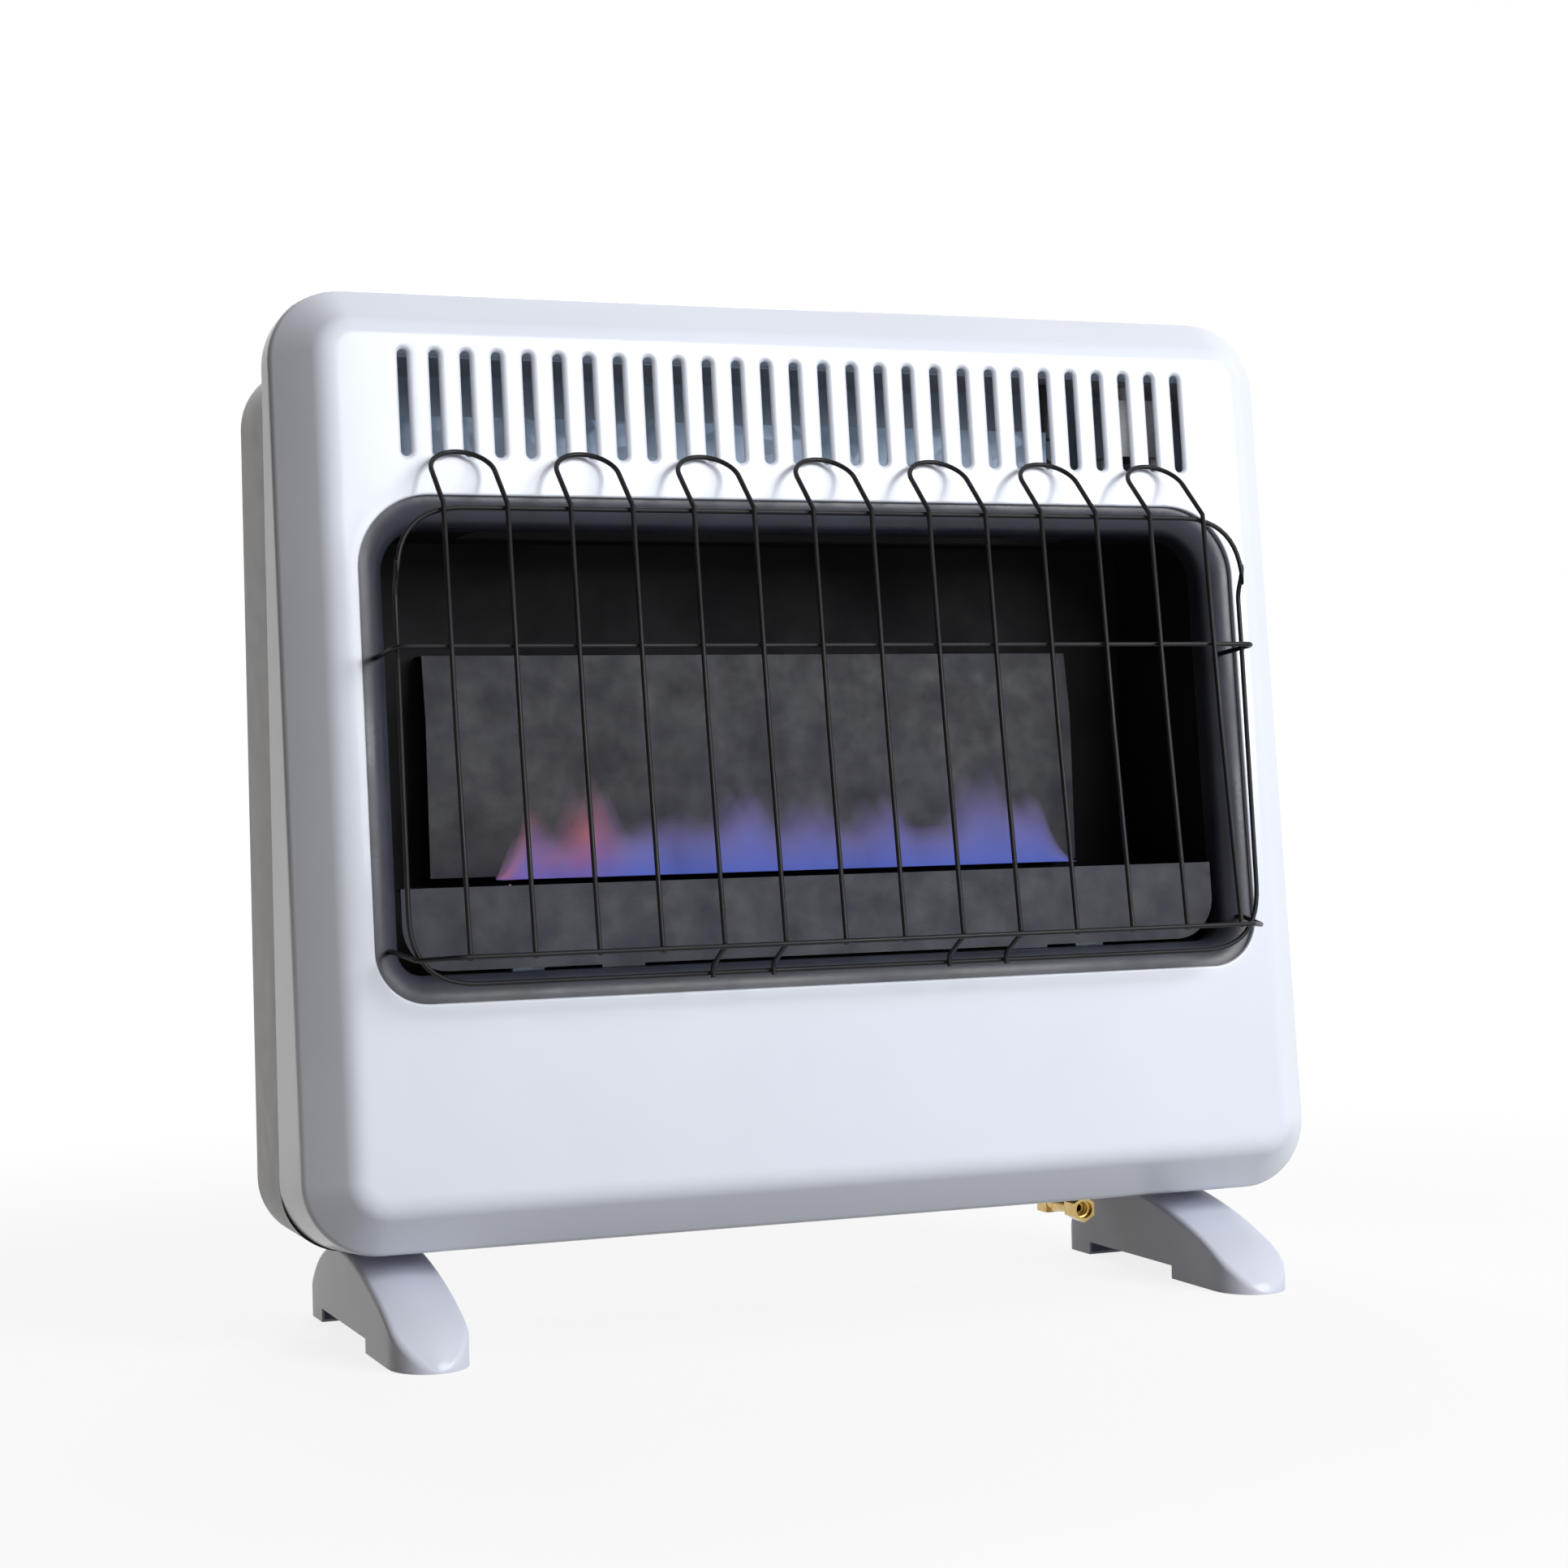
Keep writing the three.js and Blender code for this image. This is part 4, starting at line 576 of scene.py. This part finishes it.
WHITE = enamel("white_enamel", (0.80, 0.83, 0.91), (0.77, 0.80, 0.88), gloss=0.24, coat=0.2, specular=0.35)
CABINET = cabinet_enamel("cabinet_enamel", (0.78, 0.78, 0.77), (0.74, 0.74, 0.73))
FOOT = enamel("foot_enamel", (0.70, 0.72, 0.81), (0.66, 0.68, 0.77), gloss=0.28, coat=0.1, specular=0.3)
SURROUND = black_enamel("surround_enamel", (0.024, 0.026, 0.038), gloss=0.24, specular=0.42)
FIREBOX = black_enamel("firebox_enamel", (0.0022, 0.0023, 0.003), gloss=0.6, specular=0.15)
PLATE = matt_plate("reflector_plate", (0.015, 0.015, 0.022), (0.024, 0.024, 0.034))
SHIELD = matt_plate("shield_plate", (0.011, 0.012, 0.021), (0.018, 0.020, 0.032), rough=0.55)
WIRE = black_enamel("wire_paint", (0.006, 0.006, 0.007), gloss=0.32, specular=0.22)
SPANGLE = spangled("galvanised", (0.20, 0.25, 0.32), (0.38, 0.44, 0.52))
# The heat deflector's sheet carries painted shade towards its top
SHADED_SPANGLE = shaded_galvanised("shaded_galvanised", (0.10, 0.14, 0.19), (0.26, 0.31, 0.40))
STEEL = metal("plated_steel", (0.50, 0.51, 0.53), (0.66, 0.67, 0.69))
BRASS = metal("brass", (0.55, 0.37, 0.12), (0.78, 0.58, 0.25), rough=0.24)
COPPER = metal("copper", (0.62, 0.33, 0.20), (0.80, 0.47, 0.32))
TUBE = metal("drawn_tube", (0.62, 0.63, 0.65), (0.78, 0.79, 0.80))
CASTING = metal("cast_alloy", (0.45, 0.46, 0.47), (0.60, 0.60, 0.61), rough=0.5, scale=420)
SLEEVE = plastic("lead_sleeve", (0.02, 0.02, 0.02), (0.035, 0.035, 0.035), rough=0.6)
CERAMIC = plastic("ceramic", (0.78, 0.76, 0.70), (0.86, 0.84, 0.79), rough=0.35, grain=300)
BLACK_PLASTIC = plastic("black_plastic", (0.012, 0.012, 0.013), (0.022, 0.022, 0.023))
RED_PLASTIC = plastic("button_plastic", (0.38, 0.03, 0.025), (0.50, 0.05, 0.04), rough=0.25)
BEZEL = black_enamel("bezel_paint", (0.020, 0.020, 0.022), gloss=0.35)
FLAME = burning_gas("burning_gas")

# The look of each material slot, and of the nodes that differ from their slot
LOOKS = {
    "white_enamel": WHITE, "cabinet_paint": CABINET, "black_enamel": FIREBOX, "grey_enamel": PLATE,
    "black_wire": WIRE, "foot_paint": FOOT, "steel": STEEL, "plated_steel": SPANGLE, "brass": BRASS,
    "copper": COPPER, "aluminium_tube": TUBE, "lead_sleeve": SLEEVE, "ceramic": CERAMIC,
    "cast_alloy": CASTING, "knob_plastic": BLACK_PLASTIC, "button_plastic": RED_PLASTIC, "bezel_paint": BEZEL,
}
OWN_LOOKS = {"heat_deflector": SHADED_SPANGLE, "burner_shield": SHIELD}


# The casing


def panel_place(depth):
    return lambda x, slope: Vector((x, depth, slope))


def panel_ring(inset, depth):
    return rounded_ring(PANEL_HALF - inset, inset, PANEL_SLOPE - inset, PANEL_CORNER - inset,
                        panel_place(depth))


def panel_rear_place(x, slope):
    """A place on the panel's rear edge, which is cut upright."""
    return Vector((x, (JUNCTION_DEPTH - slope * math.sin(LEAN)) / math.cos(LEAN), slope))


def window_ring(inset, depth):
    return rounded_ring(WINDOW_HALF - inset, WINDOW_LOW + inset, WINDOW_HIGH - inset,
                        WINDOW_CORNER - inset, panel_place(depth), WINDOW_TOP_CORNER - inset)


def slot_ring(x, spread, depth):
    """The outline of a slot, wider by a spread, from its right side over the top."""
    radius = SLOT_WIDTH / 2 + spread
    ring = []
    for slope, start in SLOT_ENDS:
        for step in range(SLOT_END_STEPS + 1):
            angle = start + step / SLOT_END_STEPS * math.pi
            ring.append(Vector((x + radius * math.cos(angle), depth, slope + radius * math.sin(angle))))
    return ring


def slot_cell(x):
    """The rectangle of face around one slot, with a point for each point of the slot's outline."""
    half, reach = SLOT_PITCH / 2, SLOT_MARGIN + SLOT_WIDTH / 2
    corner = math.atan2(reach, half)
    ring = []
    for slope, start in SLOT_ENDS:
        for step in range(SLOT_END_STEPS + 1):
            angle = step / SLOT_END_STEPS * math.pi
            nearest = min((corner, math.pi - corner), key=lambda place: abs(place - angle))
            if abs(nearest - angle) < math.pi / SLOT_END_STEPS / 2:
                angle = nearest
            across, up = math.cos(start + angle), math.sin(start + angle)
            size = min(half / max(abs(across), NOT_ZERO), reach / max(abs(up), NOT_ZERO))
            ring.append(Vector((x + across * size, 0, slope + up * size)))
    return ring


def front_panel():
    """The leaning pressing: side walls, bevel, window lip and dished slots, with the flat face filled in."""
    work = bmesh.new()
    corners = [Vector((0, BEVEL_DEPTH + 2 * CREASE_RUN)), Vector((0, BEVEL_DEPTH)), Vector((BEVEL_WIDTH, 0)),
               Vector((BEVEL_WIDTH + FACE_MARGIN, 0))]
    skin = round_corners(corners, [0, CREASE_RUN, FACE_BEND_RUN, 0])
    rear = rounded_ring(PANEL_HALF, 0, PANEL_SLOPE, PANEL_CORNER, panel_rear_place)
    loft(work, [rear] + [panel_ring(inset, depth) for inset, depth in skin])
    lip = round_corners([Vector((-WINDOW_MARGIN, 0)), Vector((0, 0)), Vector((0, WINDOW_LIP))],
                        [0, WINDOW_BEND_RUN, 0])
    loft(work, [window_ring(inset, depth) for inset, depth in lip])
    for i in range(SLOT_COUNT):
        x = (i - (SLOT_COUNT - 1) / 2) * SLOT_PITCH
        loft(work, [slot_cell(x)] + [slot_ring(x, spread, depth) for spread, depth in SLOT_DISH])
    bmesh.ops.remove_doubles(work, verts=work.verts, dist=WELD)
    flat = [edge for edge in work.edges
            if edge.is_boundary and all(abs(end.co.y) < IN_PLANE for end in edge.verts)]
    bmesh.ops.triangle_fill(work, edges=flat, use_beauty=True)
    turn_out(work, FRONTWARD)
    dress(finished("panel_shell", work, LEANING, SHEET), WHITE, "white_enamel", "front_panel")


def cutter(name, prisms):
    """A helper to cut holes with, of closed prisms: each a run of points and the way to sweep it."""
    work = bmesh.new()
    for points, sweep in prisms:
        loft(work, [points, [point + sweep for point in points]])
    bmesh.ops.holes_fill(work, edges=work.edges)
    bmesh.ops.recalc_face_normals(work, faces=work.faces)
    return finished(name, work)


def carve(piece, helper):
    """Cuts the helper out of the piece and removes it."""
    modifier = piece.modifiers.new("carve", "BOOLEAN")
    modifier.operation = "DIFFERENCE"
    modifier.solver = "EXACT"
    modifier.use_self = True
    modifier.object = helper
    piece.data = evaluated(piece)
    piece.modifiers.clear()
    bpy.data.objects.remove(helper)
    shade(piece)


def rectangle(x, y, width, depth, z):
    return [Vector((x + across * width / 2, y + along * depth / 2, z))
            for across, along in ((1, -1), (1, 1), (-1, 1), (-1, -1))]


def circle(radius, place):
    """A circle, as points from place(across, up)."""
    turns = [step / HOLE_STEPS * math.tau for step in range(HOLE_STEPS)]
    return [place(radius * math.cos(turn), radius * math.sin(turn)) for turn in turns]


def keyhole(x, z):
    """A round head with a narrow neck above it, as prisms through the cabinet's back."""
    y = CABINET_BACK - CUT_MARGIN
    head = circle(KEYHOLE_HEAD, lambda across, up: Vector((x + across, y, z + up)))
    neck = [Vector((x + across * KEYHOLE_NECK, y, z + up * KEYHOLE_RISE))
            for across, up in ((1, 0), (1, 1), (-1, 1), (-1, 0))]
    return [(outline, Vector((0, 2 * CUT_MARGIN, 0))) for outline in (head, neck)]


def cabinet_ring(inset, y):
    return rounded_ring(PANEL_HALF - SEAM_STEP - inset, CABINET_LOW + inset, CABINET_TOP - inset,
                        CABINET_CORNER - inset, lambda x, z: Vector((x, y, z)))


def rear_cabinet():
    """The upright pan: rolled corners, a soft edge at the back, its intake slots, keyholes and inlet hole."""
    work = bmesh.new()
    rings = [cabinet_ring(0, CABINET_FRONT), cabinet_ring(0, CABINET_BACK - CABINET_BEND)]
    rings += [cabinet_ring(CABINET_BEND * (1 - cosine), CABINET_BACK - CABINET_BEND * (1 - sine))
              for sine, cosine in quarter_turn(BEND_STEPS)]
    work.faces.new(loft(work, rings)[-1])
    turn_out(work)
    piece = finished("cabinet_shell", work, UPRIGHT, SHEET)
    low = CABINET_LOW - CUT_MARGIN
    x, y = INLET_PLACE
    outlines = [circle(INLET_HOLE, lambda across, along: Vector((x + across, y + along, low)))]
    outlines += [rectangle((i - (INTAKE_COUNT - 1) / 2) * INTAKE_PITCH, INTAKE_Y, *INTAKE_SIZE, low)
                 for i in range(INTAKE_COUNT)]
    holes = [(outline, Vector((0, 0, 2 * CUT_MARGIN))) for outline in outlines]
    for place in KEYHOLE_PLACES:
        holes += keyhole(*place)
    carve(piece, cutter("cabinet_holes", holes))
    dress(piece, CABINET, "cabinet_paint", "rear_cabinet")


def deck_upstand():
    """The small lip on the deck's front edge, which no solid has, because there it stopped valve_push."""
    half = PANEL_HALF - SEAM_STEP - CABINET_CORNER
    work = bmesh.new()
    corner = Vector((0, CABINET_FRONT, CABINET_TOP))
    ends = [Vector((0, CABINET_FRONT + DECK_LIP_FOOT, CABINET_TOP)),
            Vector((0, CABINET_FRONT, CABINET_TOP + DECK_LIP))]
    fold = round_corners([ends[0], corner, ends[1]], [0, DECK_LIP_BEND_RUN, 0], SMALL_BEND_STEPS)
    loft(work, [[point + Vector((x, 0, 0)) for point in fold] for x in (-half, half)], closed=False)
    turn_out(work, FRONTWARD)
    dress(finished("deck_upstand", work, UPRIGHT, DECK_LIP_SHEET), CABINET, "cabinet_paint")


def curve_down(start, end, shares, along):
    """A point a share of the way along a cubic curve, whose handles are shares of the way down and across."""
    (y0, z0), (y1, z1) = start, end
    points = [Vector(start)]
    points += [Vector((y0 + across * (y1 - y0), z0 + down * (z1 - z0))) for across, down in shares]
    points.append(Vector(end))
    while len(points) > 1:
        points = [a.lerp(b, along) for a, b in zip(points, points[1:])]
    return points[0]


def foot_outline():
    """The foot from the side, as places and heights from the toe over the top to the heel."""
    top, low = CABINET_LOW - CLEARANCE, -STAND_HEIGHT
    half = FOOT_STATIONS // 2
    front = [curve_down((FOOT_TOP[0], top), (FOOT_TOE, low), FOOT_FRONT_SHARES, 1 - step / half)
             for step in range(half + 1)]
    rear = [curve_down((FOOT_TOP[1], top), (FOOT_HEEL, low), FOOT_REAR_SHARES, step / half)
            for step in range(half + 1)]
    return front + rear


def foot_half_width(y):
    for middle, radius in ((FOOT_TOE + FOOT_TOE_ROUND, -FOOT_TOE_ROUND),
                           (FOOT_HEEL - FOOT_HEEL_ROUND, FOOT_HEEL_ROUND)):
        share = (y - middle) / radius
        if share > 0:
            return FOOT_HALF * math.sqrt(max(1 - share * share, 0))
    return FOOT_HALF


def foot_section(x, y, top):
    """One slice across the foot: upright flanks, soft shoulders and a low crown."""
    low = -STAND_HEIGHT
    least = low + WELD
    half = max(foot_half_width(y), FOOT_LEAST)
    edge = min(FOOT_EDGE, half * FOOT_EDGE_SHARE, max(top - low, FOOT_LEAST) * FOOT_EDGE_SHARE)
    crown = min(FOOT_CROWN, edge * FOOT_CROWN_SHARE)
    shoulder = top - crown
    flank = [(half, low), (half, max(shoulder - edge, least))]
    flank += [(half - edge * (1 - cosine), max(shoulder - edge * (1 - sine), least))
              for sine, cosine in quarter_turn(FOOT_EDGE_STEPS)]
    shares = [1 - 2 * step / FOOT_EDGE_STEPS for step in range(1, FOOT_EDGE_STEPS)]
    roof = [((half - edge) * share, max(shoulder + crown * (1 - share * share), least)) for share in shares]
    other = [(-across, up) for across, up in reversed(flank)]
    return [Vector((x + across, y, up)) for across, up in flank + roof + other]


def foot(name, side):
    """A hollow foot, with the notch under it cut out."""
    x = side * FOOT_SPREAD
    work = bmesh.new()
    made = loft(work, [foot_section(x, y, top) for y, top in foot_outline()])
    work.faces.new(made[0])
    work.faces.new(made[-1])
    turn_out(work)
    piece = finished(name + "_shell", work, UPRIGHT, FOOT_WALL)
    front, rear = FOOT_NOTCH
    low = -STAND_HEIGHT - FOOT_NOTCH_HEIGHT
    notch = rectangle(x, (front + rear) / 2, 4 * FOOT_HALF, rear - front, low)
    carve(piece, cutter(name + "_notch", [(notch, Vector((0, 0, 2 * FOOT_NOTCH_HEIGHT)))]))
    dress(piece, FOOT, "foot_paint", name)


def window_surround():
    """The dark frame behind the window: a flange, then a rounded step that turns back into the firebox."""
    work = bmesh.new()
    front = WINDOW_LIP + CLEARANCE
    rings = [window_ring(-SURROUND_OVERLAP, front), window_ring(0, front)]
    rings += [window_ring(SURROUND_INSET * sine,
                          front + SURROUND_ROUND_SHARE * (SURROUND_DEPTH - front) * (1 - cosine))
              for sine, cosine in quarter_turn(2 * BEND_STEPS)]
    rings.append(window_ring(SURROUND_INSET, SURROUND_DEPTH))
    loft(work, rings)
    turn_out(work, FRONTWARD)
    dress(finished("surround_shell", work, LEANING, SHEET), SURROUND, "black_enamel", "window_surround")


# The wire guard


def wire(name, points, closed=False):
    """A round wire through places on the front, for the guard's CAD node of that name."""
    curve = bpy.data.curves.new(name, "CURVE")
    curve.dimensions = "3D"
    curve.bevel_depth = WIRE_RADIUS
    curve.bevel_resolution = WIRE_SIDES // 4
    curve.use_fill_caps = True
    spline = curve.splines.new("POLY")
    spline.points.add(len(points) - 1)
    for point, made in zip(points, spline.points):
        made.co = (*(LEANING @ point), 1)
    spline.use_cyclic_u = closed
    line = linked(name + "_line", curve)
    mesh = evaluated(line)
    bpy.data.objects.remove(line)
    piece = linked(name, mesh)
    shade(piece, WIRE_EDGE)
    dress(piece, WIRE, "black_wire", "guard_" + name)


def guard_point(x, standoff, slope):
    return Vector((x, -standoff, slope))


def upright_standoff(slope):
    """How far an upright wire stands off the face, at a slope upwards."""
    foot_slope, middle, head = UPRIGHT_SLOPES
    low, knee, high = UPRIGHT_STANDOFFS
    if slope < middle:
        return low + (slope - foot_slope) / (middle - foot_slope) * (knee - low)
    return knee + (slope - middle) / (head - middle) * (high - knee)


def loop_leg(x, is_long):
    """An upright wire from its foot; a long one bends back under the bottom rail to the ring."""
    foot_slope, middle, head = UPRIGHT_SLOPES
    climb = [guard_point(x, upright_standoff(slope), slope) for slope in (middle, head)]
    if not is_long:
        return [guard_point(x, upright_standoff(foot_slope), foot_slope)] + climb
    landing = RING_LOW_STANDOFF + RAIL_WELD
    knee = guard_point(x, upright_standoff(BOTTOM_RAIL), BOTTOM_RAIL)
    leg = [guard_point(x, landing, slope) for slope in (LONG_LEG_DROP, RING_LOW + RAIL_WELD)] + [knee]
    return round_corners(leg + climb, [0, RAIL_BEND_RUN / 4, RAIL_BEND_RUN / 3, 0, 0], SMALL_BEND_STEPS)


def guard_loop(index):
    """A hairpin of two uprights, whose arch bends back over the ring towards the panel."""
    centre = (index - (LOOP_COUNT - 1) / 2) * 2 * UPRIGHT_PITCH
    half = UPRIGHT_PITCH / 2
    head, standoff = UPRIGHT_SLOPES[-1], UPRIGHT_STANDOFFS[-1]
    tilt = Vector((standoff - LOOP_TOP_STANDOFF, LOOP_TOP - head))
    reach = tilt.length - half
    tilt.normalize()
    arch = []
    for step in range(LOOP_STEPS + 1):
        angle = math.pi * (1 - step / LOOP_STEPS)
        up = reach + half * math.sin(angle)
        across = centre + half * math.cos(angle)
        arch.append(guard_point(across, standoff - up * tilt.x, head + up * tilt.y))
    left, right = (loop_leg(centre + side * half, index in LONG_LOOPS) for side in (-1, 1))
    wire(f"loop_{index + 1}", left + arch + right[::-1])


def rail(name, points, run):
    """A rail with bent corners, from the places of its left half, which its right half mirrors."""
    points = points + [Vector((-point.x, point.y, point.z)) for point in reversed(points)]
    wire(name, round_corners(points, [run] * len(points)))


def guard_rails():
    standoff = upright_standoff(BOTTOM_RAIL) + RAIL_WELD
    rail("bottom_rail", [Vector((-RAIL_HOLE, RAIL_INSERTION, RAIL_HOLE_SLOPE)),
                         guard_point(-RAIL_HOLE, 0, RAIL_HOLE_SLOPE),
                         guard_point(-BOTTOM_RAIL_ELBOW, BOTTOM_RAIL_ELBOW_STANDOFF, BOTTOM_RAIL),
                         guard_point(-BOTTOM_RAIL_HALF, standoff, BOTTOM_RAIL)], RAIL_BEND_RUN / 2)
    standoff = upright_standoff(MIDDLE_RAIL) - RAIL_WELD
    rail("middle_rail", [Vector((-RAIL_HOLE, RAIL_INSERTION, MIDDLE_RAIL)),
                         guard_point(-RAIL_HOLE, standoff, MIDDLE_RAIL)], RAIL_BEND_RUN)


def guard_ring():
    """The ring round the window, which jogs forward near its top to meet the uprights."""
    head = UPRIGHT_STANDOFFS[-1] - RAIL_WELD
    right = [(RING_LOW_STANDOFF, RING_LOW), (RING_SIDE_STANDOFF, MIDDLE_RAIL),
             (RING_SIDE_STANDOFF, RING_JOGGLE[0]), (head, RING_JOGGLE[1]), (head, RING_HIGH)]
    corners = [guard_point(RING_HALF, standoff, slope) for standoff, slope in right]
    corners += [guard_point(-RING_HALF, standoff, slope) for standoff, slope in reversed(right)]
    runs = [RING_CORNERS[0], 0, RING_JOGGLE_RUN, RING_JOGGLE_RUN, RING_CORNERS[1]]
    wire("ring", round_corners(corners, runs + runs[::-1], RING_CORNER_STEPS, closed=True), closed=True)


# The flames


def flame_height(x, peaks):
    """How high the flame stands at a place along the burner: a low bed with soft peaks."""
    top = sum(height * math.exp(-((x - middle) / width) ** 2) for middle, width, height in peaks)
    reach = min((x - FLAME_RUN[0]) / FLAME_END, (FLAME_RUN[1] - x) / FLAME_END, 1)
    return max(reach, FLAME_END_SHARE) * (FLAME_BED + top)


def flame_sheet(name, y, shift, scale):
    """A thin curtain of burning gas over the burner's ports, which fades towards its upper edge."""
    peaks = [(middle + shift, width, height * scale) for middle, width, height in FLAME_PEAKS]
    work = bmesh.new()
    rise = work.verts.layers.float.new("rise")
    columns = []
    for i in range(FLAME_COLUMNS + 1):
        x = FLAME_RUN[0] + i / FLAME_COLUMNS * (FLAME_RUN[1] - FLAME_RUN[0])
        high = flame_height(x, peaks)
        column = []
        for step in range(FLAME_ROWS + 1):
            share = step / FLAME_ROWS
            sway = FLAME_SWAY * math.sin(x * FLAME_WAVE + shift * FLAME_SHIFT_WAVE) * (1 - share)
            vertex = work.verts.new((x, y + sway + FLAME_LEAN * share, FLAME_BASE + share * high))
            vertex[rise] = share
            column.append(vertex)
        columns.append(column)
    for here, after in zip(columns, columns[1:]):
        for step in range(FLAME_ROWS):
            work.faces.new((here[step], after[step], after[step + 1], here[step + 1]))
    dress(finished(name, work, UPRIGHT, FLAME_SHEET, FLAME_EDGE), FLAME, "grey_enamel")


# The nodes that keep their CAD shape


def smoothing():
    """Modifier nodes that weld a CAD skin and shade it smoothly, apart from its hard edges."""
    group = bpy.data.node_groups.new("weld_and_smooth", "GeometryNodeTree")
    for way in ("INPUT", "OUTPUT"):
        group.interface.new_socket("Geometry", in_out=way, socket_type="NodeSocketGeometry")
    nodes = Tree(group)
    start = nodes.add("NodeGroupInput").outputs[0]
    angle = nodes.add("GeometryNodeInputMeshEdgeAngle").outputs["Unsigned Angle"]
    soft = nodes.add("FunctionNodeCompare", {"A": angle, "B": HARD_EDGE}, operation="LESS_THAN")
    weld = nodes.add("GeometryNodeMergeByDistance", {"Geometry": start, "Distance": WELD})
    faces = nodes.add("GeometryNodeSetShadeSmooth", {"Geometry": weld.outputs["Geometry"]})
    inputs = {"Geometry": faces.outputs["Geometry"], "Shade Smooth": soft.outputs["Result"]}
    edges = nodes.add("GeometryNodeSetShadeSmooth", inputs, domain="EDGE")
    nodes.add("NodeGroupOutput", [edges.outputs["Geometry"]])
    return group


def finish_nodes():
    """Gives every CAD node the look of its material slot, or its own, and soft shading."""
    group = smoothing()
    for entry in frame["record"]["subparts"]:
        node = frame["nodes"][entry["node"]]
        node.data.materials.clear()
        node.data.materials.append(OWN_LOOKS.get(entry["node"], LOOKS[entry["material_slot"]]))
        node.modifiers.new("smooth", "NODES").node_group = group


# The stage


def floor():
    """A pale floor that keeps the heater's shadow and turns into the white background further off."""
    work = bmesh.new()
    bmesh.ops.create_grid(work, x_segments=1, y_segments=1, size=FLOOR_SIZE)
    piece = finished("floor", work, Matrix.Translation((0, 0, -CLEARANCE)))
    paint = Paint("floor_paint")
    pale = paint.tones(paint.noise(scale=3, detail=2), grey(FLOOR_TONES[0]), grey(FLOOR_TONES[1]))
    tone = paint.mix(paint.ray("Is Camera Ray"), grey(FLOOR_BOUNCE), pale)
    piece.data.materials.append(paint.finish(Base_Color=tone, Roughness=0.9, Specular_IOR_Level=0.1))
    distance = paint.add("ShaderNodeVectorMath", [paint.place], operation="LENGTH").outputs["Value"]
    fade = paint.between(distance, *FLOOR_FADE, FLOOR_GLOW, 1.0)
    seen = paint.calc("MAXIMUM", paint.ray("Is Camera Ray"), paint.ray("Is Glossy Ray"))
    glow = paint.add("ShaderNodeEmission").outputs["Emission"]
    both = [paint.calc("MULTIPLY", seen, fade), paint.shader.outputs["BSDF"], glow]
    surface = paint.add("ShaderNodeMixShader", both).outputs["Shader"]
    paint.feed(paint.tree.nodes["Material Output"], {"Surface": surface})


def lamp(name, place, target, size, power, color):
    light = bpy.data.lights.new(name, "AREA")
    light.shape = "RECTANGLE"
    light.size, light.size_y = size
    light.energy = power
    light.color = color
    thing = linked(name, light)
    thing.location = place
    thing.rotation_euler = (Vector(target) - Vector(place)).to_track_quat("-Z", "Y").to_euler()


def world():
    """The room that lights the object. The camera sees white in its place, and gloss does on the right."""
    made = bpy.data.worlds.new("studio")
    made.use_nodes = True
    bpy.context.scene.world = made
    nodes = Tree(made.node_tree)
    place = nodes.coordinates("Generated")
    depth = nodes.calc("ABSOLUTE", nodes.axis(place, "Y"))
    side = nodes.between(nodes.calc("MULTIPLY_ADD", depth, ROOM_WRAP, nodes.axis(place, "X")), *ROOM_SIDES)
    room = nodes.mix(side, ROOM_LEFT, ROOM_RIGHT)
    mirrored = nodes.mix(side, ROOM_LEFT, grey(1))
    lit = nodes.mix(nodes.ray("Is Glossy Ray"), room, mirrored)
    seen = nodes.calc("MAXIMUM", nodes.ray("Is Camera Ray"), nodes.ray("Is Transmission Ray"))
    nodes.feed(nodes.tree.nodes["Background"], {"Color": nodes.mix(seen, lit, grey(1))})


def camera():
    """The camera as fitted to the photograph: from the front left, nearly level and slightly rolled."""
    flat = math.cos(CAMERA_PITCH)
    forward = Vector((math.sin(CAMERA_YAW) * flat, math.cos(CAMERA_YAW) * flat, math.sin(CAMERA_PITCH)))
    level = Vector((math.cos(CAMERA_YAW), -math.sin(CAMERA_YAW), 0))
    rise = level.cross(forward)
    across = math.cos(CAMERA_ROLL) * level + math.sin(CAMERA_ROLL) * rise
    up = math.cos(CAMERA_ROLL) * rise - math.sin(CAMERA_ROLL) * level
    lens = bpy.data.cameras.new("camera")
    lens.sensor_width = SENSOR_MM
    lens.lens = FOCAL_PIXELS / PHOTO_PIXELS * SENSOR_MM
    thing = linked("camera", lens)
    turn = Matrix((across, up, -forward)).transposed().to_4x4()
    thing.matrix_world = Matrix.Translation(CAMERA_PLACE) @ turn
    bpy.context.scene.camera = thing


camera()
world()
floor()
for settings in LAMPS:
    lamp(*settings)

finish_nodes()
front_panel()
rear_cabinet()
deck_upstand()
foot("left_foot", -1)
foot("right_foot", 1)
window_surround()
guard_ring()
guard_rails()
for loop in range(LOOP_COUNT):
    guard_loop(loop)
for number, curtain in enumerate(FLAME_CURTAINS):
    flame_sheet(f"flame_{number + 1}", *curtain)

bpy.context.scene.view_settings.view_transform = "Standard"
